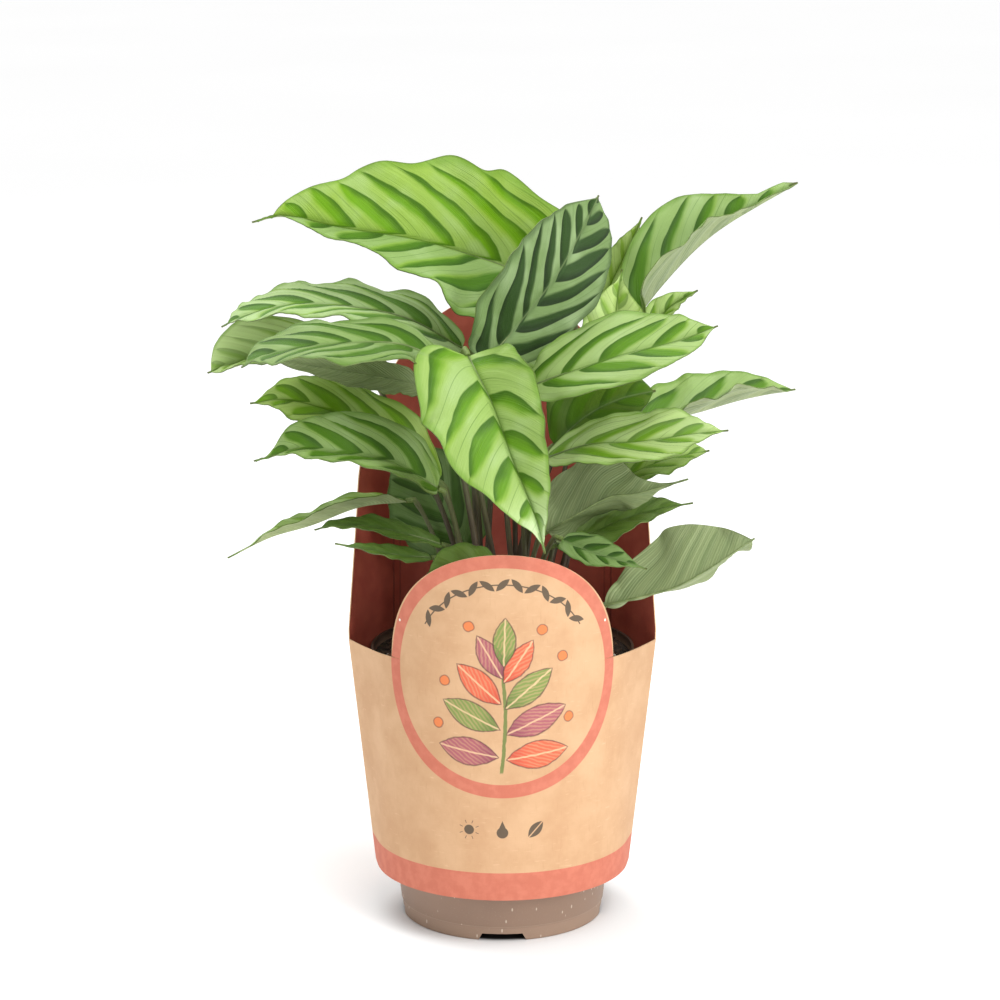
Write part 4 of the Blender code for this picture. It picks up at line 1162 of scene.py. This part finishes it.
# %% Sleeve plan
SLEEVE_BOTTOM, SLEEVE_EDGE = 22.0, 122.5
CIRCLE_BOTTOM, CIRCLE_EDGE = 53.8, 57.6
CORNER_BOTTOM, CORNER_EDGE = 54.4, 65.4
TAB_CENTRE, TAB_RADIUS, TAB_HALF = 119.5, 52.0, math.radians(52.5)
PANEL_SHOULDER, PANEL_TOP, SHOULDER_WIDTH = 178.0, 259.0, 61.6
PANEL_STRAIGHT, PANEL_FLATTEN, PANEL_LEAN = 0.45, 0.45, 0.12
CARD_OUT, CARD, EDGE_DIP = 0.65, 0.5, 2.2
BACK_PRINT = 500.0  # where the back lies in the flat sheet, clear of all print


def edge_height(turn):
    """The top edge dips a little towards the creased sides."""
    near = 1 - min(abs(math.cos(turn)), 1.0)
    share = max(0.0, 1 - near / 0.30)
    return SLEEVE_EDGE - EDGE_DIP * share ** 1.5


def sleeve_section(turn, height):
    """Card drawn round a circle and creased at its two sides, in millimetres."""
    run = (height - SLEEVE_BOTTOM) / (SLEEVE_EDGE - SLEEVE_BOTTOM)
    circle = CIRCLE_BOTTOM + (CIRCLE_EDGE - CIRCLE_BOTTOM) * run
    corner = CORNER_BOTTOM + (CORNER_EDGE - CORNER_BOTTOM) * run
    contact = math.acos(min(circle / corner, 1.0))
    from_side = math.asin(min(abs(math.sin(turn)), 1.0))
    reach = circle / math.cos(max(contact - from_side, 0.0)) + CARD_OUT
    return reach * math.cos(turn), reach * math.sin(turn)


def panel_point(turn, rise):
    """The tall back panel: straight sides to the shoulder, then a round arch."""
    if rise < PANEL_STRAIGHT:
        height = SLEEVE_EDGE + (PANEL_SHOULDER - SLEEVE_EDGE) * rise / PANEL_STRAIGHT
        width = CORNER_EDGE + (SHOULDER_WIDTH - CORNER_EDGE) * rise / PANEL_STRAIGHT
    else:
        arch = (rise - PANEL_STRAIGHT) / (1 - PANEL_STRAIGHT) * math.pi / 2
        height = PANEL_SHOULDER + (PANEL_TOP - PANEL_SHOULDER) * math.sin(arch)
        width = SHOULDER_WIDTH * math.cos(arch)
    x = sleeve_section(turn, SLEEVE_EDGE)[0] * (width + CARD_OUT) / (CORNER_EDGE + CARD_OUT)
    contact = CIRCLE_EDGE ** 2 / CORNER_EDGE
    contact_y = math.sqrt(CIRCLE_EDGE ** 2 - contact ** 2)
    if abs(x) > contact:
        y = contact_y * max(CORNER_EDGE - abs(x), 0.0) / (CORNER_EDGE - contact)
    else:
        flatten = PANEL_FLATTEN * (height - SLEEVE_EDGE) / (PANEL_TOP - SLEEVE_EDGE)
        round_y = math.sqrt(CIRCLE_EDGE ** 2 - x ** 2)
        flat_y = contact_y + (CIRCLE_EDGE - contact_y) * (1 - (x / contact) ** 2) * 0.8
        y = round_y + (flat_y - round_y) * flatten
    return x, y + CARD_OUT + PANEL_LEAN * (height - SLEEVE_EDGE), height


# %% Laying the sleeve's patches
def lay_patch(bm, sheet, places, flats):
    """Faces over a grid of places; flats are the matching points of the printed sheet."""
    verts = [[bm.verts.new(Vector(place) * MM) for place in row] for row in places]
    for r in range(len(places) - 1):
        for c in range(len(places[0]) - 1):
            corners = [(r, c), (r, c + 1), (r + 1, c + 1), (r + 1, c)]
            face = bm.faces.new([verts[i][j] for i, j in corners])
            for loop, (i, j) in zip(face.loops, corners):
                loop[sheet].uv = (flats[i][j][0] * MM, flats[i][j][1] * MM)


def flat_places(places):
    """Length along each row from its middle column, and the height."""
    flats = []
    for row in places:
        steps = np.linalg.norm(np.diff(np.array(row)[:, :2], axis=0), axis=1)
        walked = np.concatenate([[0.0], np.cumsum(steps)])
        flats.append([(along - walked[len(row) // 2], point[2])
                      for along, point in zip(walked, row)])
    return flats


def build_sleeve():
    tab = [TAB_HALF * math.sin(math.pi / 2 * step / 36) for step in range(-36, 37)]
    flank = [TAB_HALF + (math.pi / 2 - TAB_HALF) * step / 16 for step in range(1, 17)]
    front = [-math.pi / 2 + turn for turn in [-f for f in reversed(flank)] + tab + flank]
    back = [math.pi * step / 96 for step in range(97)]

    bm = bmesh.new()
    sheet = bm.loops.layers.uv.new("print")
    for turns in (front, back):
        places = []
        for share in np.linspace(0, 1, 31):
            heights = [SLEEVE_BOTTOM + (edge_height(turn) - SLEEVE_BOTTOM) * share
                       for turn in turns]
            places.append([(*sleeve_section(turn, height), height)
                           for turn, height in zip(turns, heights)])
        flats = flat_places(places)
        if turns is back:
            flats = [[(BACK_PRINT + u, v) for u, v in row] for row in flats]
        lay_patch(bm, sheet, places, flats)

    def tab_place(turn, share):
        offset = (turn + math.pi / 2) / TAB_HALF
        arch = TAB_CENTRE + TAB_RADIUS * math.sqrt(max(1 - offset ** 2, 0.0))
        height = SLEEVE_EDGE + max(arch - SLEEVE_EDGE, 0.0) * share
        return (*sleeve_section(turn, height), height)

    places = [[tab_place(turn, row / 32) for turn in front[16:-16]] for row in range(33)]
    lay_patch(bm, sheet, places, flat_places(places))

    places = [[panel_point(turn, rise) for turn in back] for rise in np.linspace(0, 1, 61)]
    places[0] = [(*sleeve_section(turn, edge_height(turn)), edge_height(turn)) for turn in back]
    flats = [[(BACK_PRINT - place[0], place[2]) for place in row] for row in places]
    lay_patch(bm, sheet, places, flats)

    bmesh.ops.remove_doubles(bm, verts=bm.verts, dist=0.02 * MM)
    mesh = bpy.data.meshes.new("sleeve_helper")
    bm.to_mesh(mesh)
    bm.free()
    card = add_piece("sleeve_helper", mesh)
    for finish in (kraft_print(), red_lining(), cut_card()):
        mesh.materials.append(finish)
    wall = card.modifiers.new("Card", "SOLIDIFY")
    wall.thickness, wall.offset = CARD * MM, -1.0
    wall.material_offset, wall.material_offset_rim = 1, 2
    sleeve = settle(card, "kraft_sleeve")
    soften(sleeve, 35)
    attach(sleeve, "root")
    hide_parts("sleeve")
    print("sleeve faces:", len(sleeve.data.polygons))


# %% [markdown]
# ## The card and its print
#
# Kraft is mottled, with fibres that lie any way. The print on it is drawn with sums as the leaves
# are: a coral ring round the tab, a coral band along the bottom, and inside the ring a sprig of
# simple crayoned leaves with an arc of small leaf ticks over it. Three plain care signs stand
# under the ring. A stroke of crayon is a solid tint that a slanting hatch lets through. The
# places u and v are read from the flat sheet, u from the tab's middle and v from the ground.

# %% Card and ink helpers
def kraft_ground(place):
    """The bare card's colour and its height for the relief."""
    mottle = cloud(place, 55.0, 4.0, 0.6)
    x, y, z = parts(place)
    lying = cloud(vector(x, y, z * 0.12), 1500.0, 2.0)
    standing = cloud(vector(x * 0.15, y * 0.15, z), 1300.0, 2.0)
    colour = mix(smooth(mottle, 0.3, 0.7), (201, 158, 118), (213, 173, 133))
    colour = mix(smooth(lying, 0.6, 0.8) * 0.30, colour, (186, 140, 100))
    colour = mix(smooth(standing, 0.62, 0.8) * 0.30, colour, (238, 206, 168))
    return colour, lying + standing


def sprig_leaf(u, v, start, angle, length, width):
    """How far inside a simple pointed leaf a place lies, and its place along and across."""
    turn = math.radians(angle)
    centre = (start[0] + length / 2 * math.cos(turn), start[1] + length / 2 * math.sin(turn))
    du, dv = u - centre[0] * MM, v - centre[1] * MM
    along = du * math.cos(turn) + dv * math.sin(turn)
    aside = dv * math.cos(turn) - du * math.sin(turn)
    bow = along * (2 / (length * MM))
    return width / 2 * MM * (1 - bow * bow) - abs(aside), along, aside


SPRIG = [  # where the leaf starts in the flat sheet, its angle, length, width and ink
    ((1.5, 84), 8, 27, 12.0, 0), ((-1.5, 85), 170, 26, 12.0, 1),
    ((1.5, 95), 24, 28, 12.0, 1), ((-1.0, 97), 154, 27, 11.5, 2),
    ((1.0, 106), 40, 26, 11.0, 2), ((-0.5, 108), 138, 25, 11.0, 0),
    ((0.5, 117), 56, 22, 9.5, 0), ((0.0, 119), 120, 21, 9.5, 1),
    ((0.5, 124), 88, 21, 9.5, 2),
]
BERRIES = [(-27.5, 98.5), (28.5, 101.0), (-24.5, 117.0), (25.5, 127.5), (16.5, 139.5),
           (-14.0, 141.0)]
INKS = [(222, 98, 68), (168, 88, 102), (122, 146, 72)]
DEEPER_INKS = [(188, 62, 52), (116, 54, 76), (76, 104, 48)]


def draw_sprig(u, v, place, colour):
    """Lays the sprig's inks over colour."""
    wobble = (cloud(place, 330.0, 2.0) - 0.5) * 0.8 * MM
    u, v = u + wobble, v - wobble
    shake = cloud(place, 240.0) * 7
    press = cloud(place, 600.0, 3.0)
    stem_at = u - (v * (1 / (13 * MM))).do("SINE") * 1.2 * MM
    stem = smooth(abs(stem_at), 0.9 * MM, 0.6 * MM) * smooth(v, 77.5 * MM, 78.5 * MM) \
        * smooth(v, 127 * MM, 125 * MM)
    colour = mix(stem * 0.9, colour, (104, 124, 62))
    for start, angle, length, width, ink in SPRIG:
        inside, along, aside = sprig_leaf(u, v, start, angle, length, width)
        filled = smooth(inside, 0.0, 0.2 * MM)
        hatch = ((aside * 0.9 + along * 0.45) * (math.tau / (1.5 * MM)) + shake).do("SINE")
        wax = 0.60 + 0.34 * smooth(hatch + press - 0.5, -0.7, 0.5)
        basal = smooth(along, -0.05 * length * MM, -0.45 * length * MM)
        vein = smooth(abs(aside), 0.5 * MM, 0.2 * MM)
        outline = smooth(abs(inside - 0.1 * MM), 0.45 * MM, 0.18 * MM)
        colour = paint(colour, (filled * wax, INKS[ink]),
                       (filled * basal * 0.55, DEEPER_INKS[ink]),
                       (filled * vein * 0.7, (236, 200, 156)),
                       (outline * (0.35 + 0.6 * press), (84, 52, 52)))
    for across, up in BERRIES:
        out = far(u - across * MM, v - up * MM)
        colour = paint(colour, (smooth(out, 2.3 * MM, 2.0 * MM) * 0.85, (230, 122, 62)),
                       (smooth(abs(out - 2.2 * MM), 0.4 * MM, 0.15 * MM) * 0.6, (112, 62, 50)))
    return colour


def draw_ticks(u, v, colour, ink):
    """An arc of small leaf ticks near the top of the tab."""
    rise = v - TAB_CENTRE * MM
    out = far(u, rise)
    angle = u.do("ARCTAN2", rise)
    radius, pitch, slant = 39.5 * MM, math.radians(9.0), 0.75
    cell = angle / pitch
    number = cell.do("ROUND")
    lean = 1 - 4 * (number * 0.5).do("FRACT")
    along = (cell - number) * (pitch * radius)
    aside = out - radius
    a = along * math.cos(slant) + aside * lean * math.sin(slant)
    b = aside * math.cos(slant) - along * lean * math.sin(slant)
    bow = a * (2 / (7.8 * MM))
    tick = smooth(1.45 * MM * (1 - bow * bow) - abs(b), 0.0, 0.15 * MM)
    line = smooth(abs(aside), 0.35 * MM, 0.2 * MM)
    inside = smooth(abs(angle), math.radians(58.8), math.radians(58.4))
    return mix(tick.do("MAXIMUM", line) * inside * 0.9, colour, ink)


def draw_care_signs(u, v, colour, ink):
    """A sun, a drop and a leaf in a row under the ring."""
    rise = v - 53 * MM
    du = u + 14 * MM
    out = far(du, rise)
    spoke = abs((rise.do("ARCTAN2", du) * (8 / math.tau)).do("FRACT") - 0.5)
    rays = smooth(spoke * out, 0.20 * MM, 0.14 * MM) * smooth(out, 2.9 * MM, 3.1 * MM) \
        * smooth(out, 4.5 * MM, 4.3 * MM)
    sun = smooth(out, 2.2 * MM, 2.0 * MM).do("MAXIMUM", rays)
    low = rise + 1.0 * MM
    bowl = 2.5 * MM - far(u, low)
    taper = 2.3 * MM * (1 - low * (1 / (5.4 * MM))) - abs(u)
    drop = smooth(bowl.do("MAXIMUM", taper * low.do("GREATER_THAN", 0.0)), 0.0, 0.15 * MM)
    inside, along, aside = sprig_leaf(u, v, (10.8, 49.5), 48, 9.5, 5.0)
    leaf = smooth(inside, 0.0, 0.15 * MM) * smooth(abs(aside), 0.15 * MM, 0.35 * MM)
    return mix(sun.do("MAXIMUM", drop).do("MAXIMUM", leaf) * 0.9, colour, ink)


# %% The printed outer face
RING_INSIDE, RING_SQUEEZE, BAND_TOP = 46.5, 0.976, 34.0


def kraft_print():
    graph, place = start_material("printed kraft card")
    u, v, _ = parts(graph.node("ShaderNodeUVMap", uv_map="print")["UV"])
    colour, fibre = kraft_ground(place)
    coral = mix(smooth(cloud(place, 220.0, 3.0), 0.35, 0.7), (199, 110, 88), (208, 121, 98))
    ink = (74, 66, 54)
    colour = draw_sprig(u, v, place, colour)
    colour = draw_ticks(u, v, colour, ink)
    colour = draw_care_signs(u, v, colour, ink)
    rise, wide = v - TAB_CENTRE * MM, u * RING_SQUEEZE
    out = far(wide, rise)
    ring = smooth(out, (RING_INSIDE - 0.1) * MM, (RING_INSIDE + 0.1) * MM) \
        * smooth(out, 52.4 * MM, 52.2 * MM)
    band = smooth(v, (BAND_TOP + 0.2) * MM, BAND_TOP * MM)
    colour = mix(ring.do("MAXIMUM", band) * 0.96, colour, coral)
    nick_u, nick_v = abs(u) - 47.9 * MM, v - 139.5 * MM
    nick = smooth(far(nick_u, nick_v), 0.7 * MM, 0.5 * MM)
    colour = mix(nick, colour, (246, 236, 222))
    return end_material(graph, colour, 0.72 + fibre * 0.06, fibre, 0.05)


# %% The red lining and the cut edge
def red_lining():
    graph, place = start_material("red lining")
    x, _, z = parts(place)
    mottle = cloud(place, 80.0, 3.0)
    colour = mix(smooth(mottle, 0.3, 0.7), (180, 82, 66), (196, 96, 78))
    low = smooth(z, 196 * MM, 186 * MM)
    # painted shade: dark lines along the creases low on the back panel; the same lines also dent
    # the relief
    folds = (smooth(abs(abs(x) - 47.5 * MM), 0.5 * MM, 0.2 * MM)
             + 0.6 * smooth(abs(abs(x) - 44.8 * MM), 0.5 * MM, 0.2 * MM)) * low
    colour = mix(folds * 0.5, colour, (96, 30, 24))
    fibre = cloud(place, 1400.0)
    colour = mix(smooth(fibre, 0.6, 0.8) * 0.22, colour, (200, 104, 88))
    return end_material(graph, colour, 0.6 + fibre * 0.1, fibre - folds * 2, 0.06)


def cut_card():
    graph, place = start_material("cut card")
    fibre = cloud(place, 1500.0, 3.0)
    return end_material(graph, mix(fibre, (206, 160, 116), (240, 208, 168)),
                        0.8 + fibre * 0.1, fibre, 0.08)


# %% Opening the sleeve round the pot
build_sleeve()
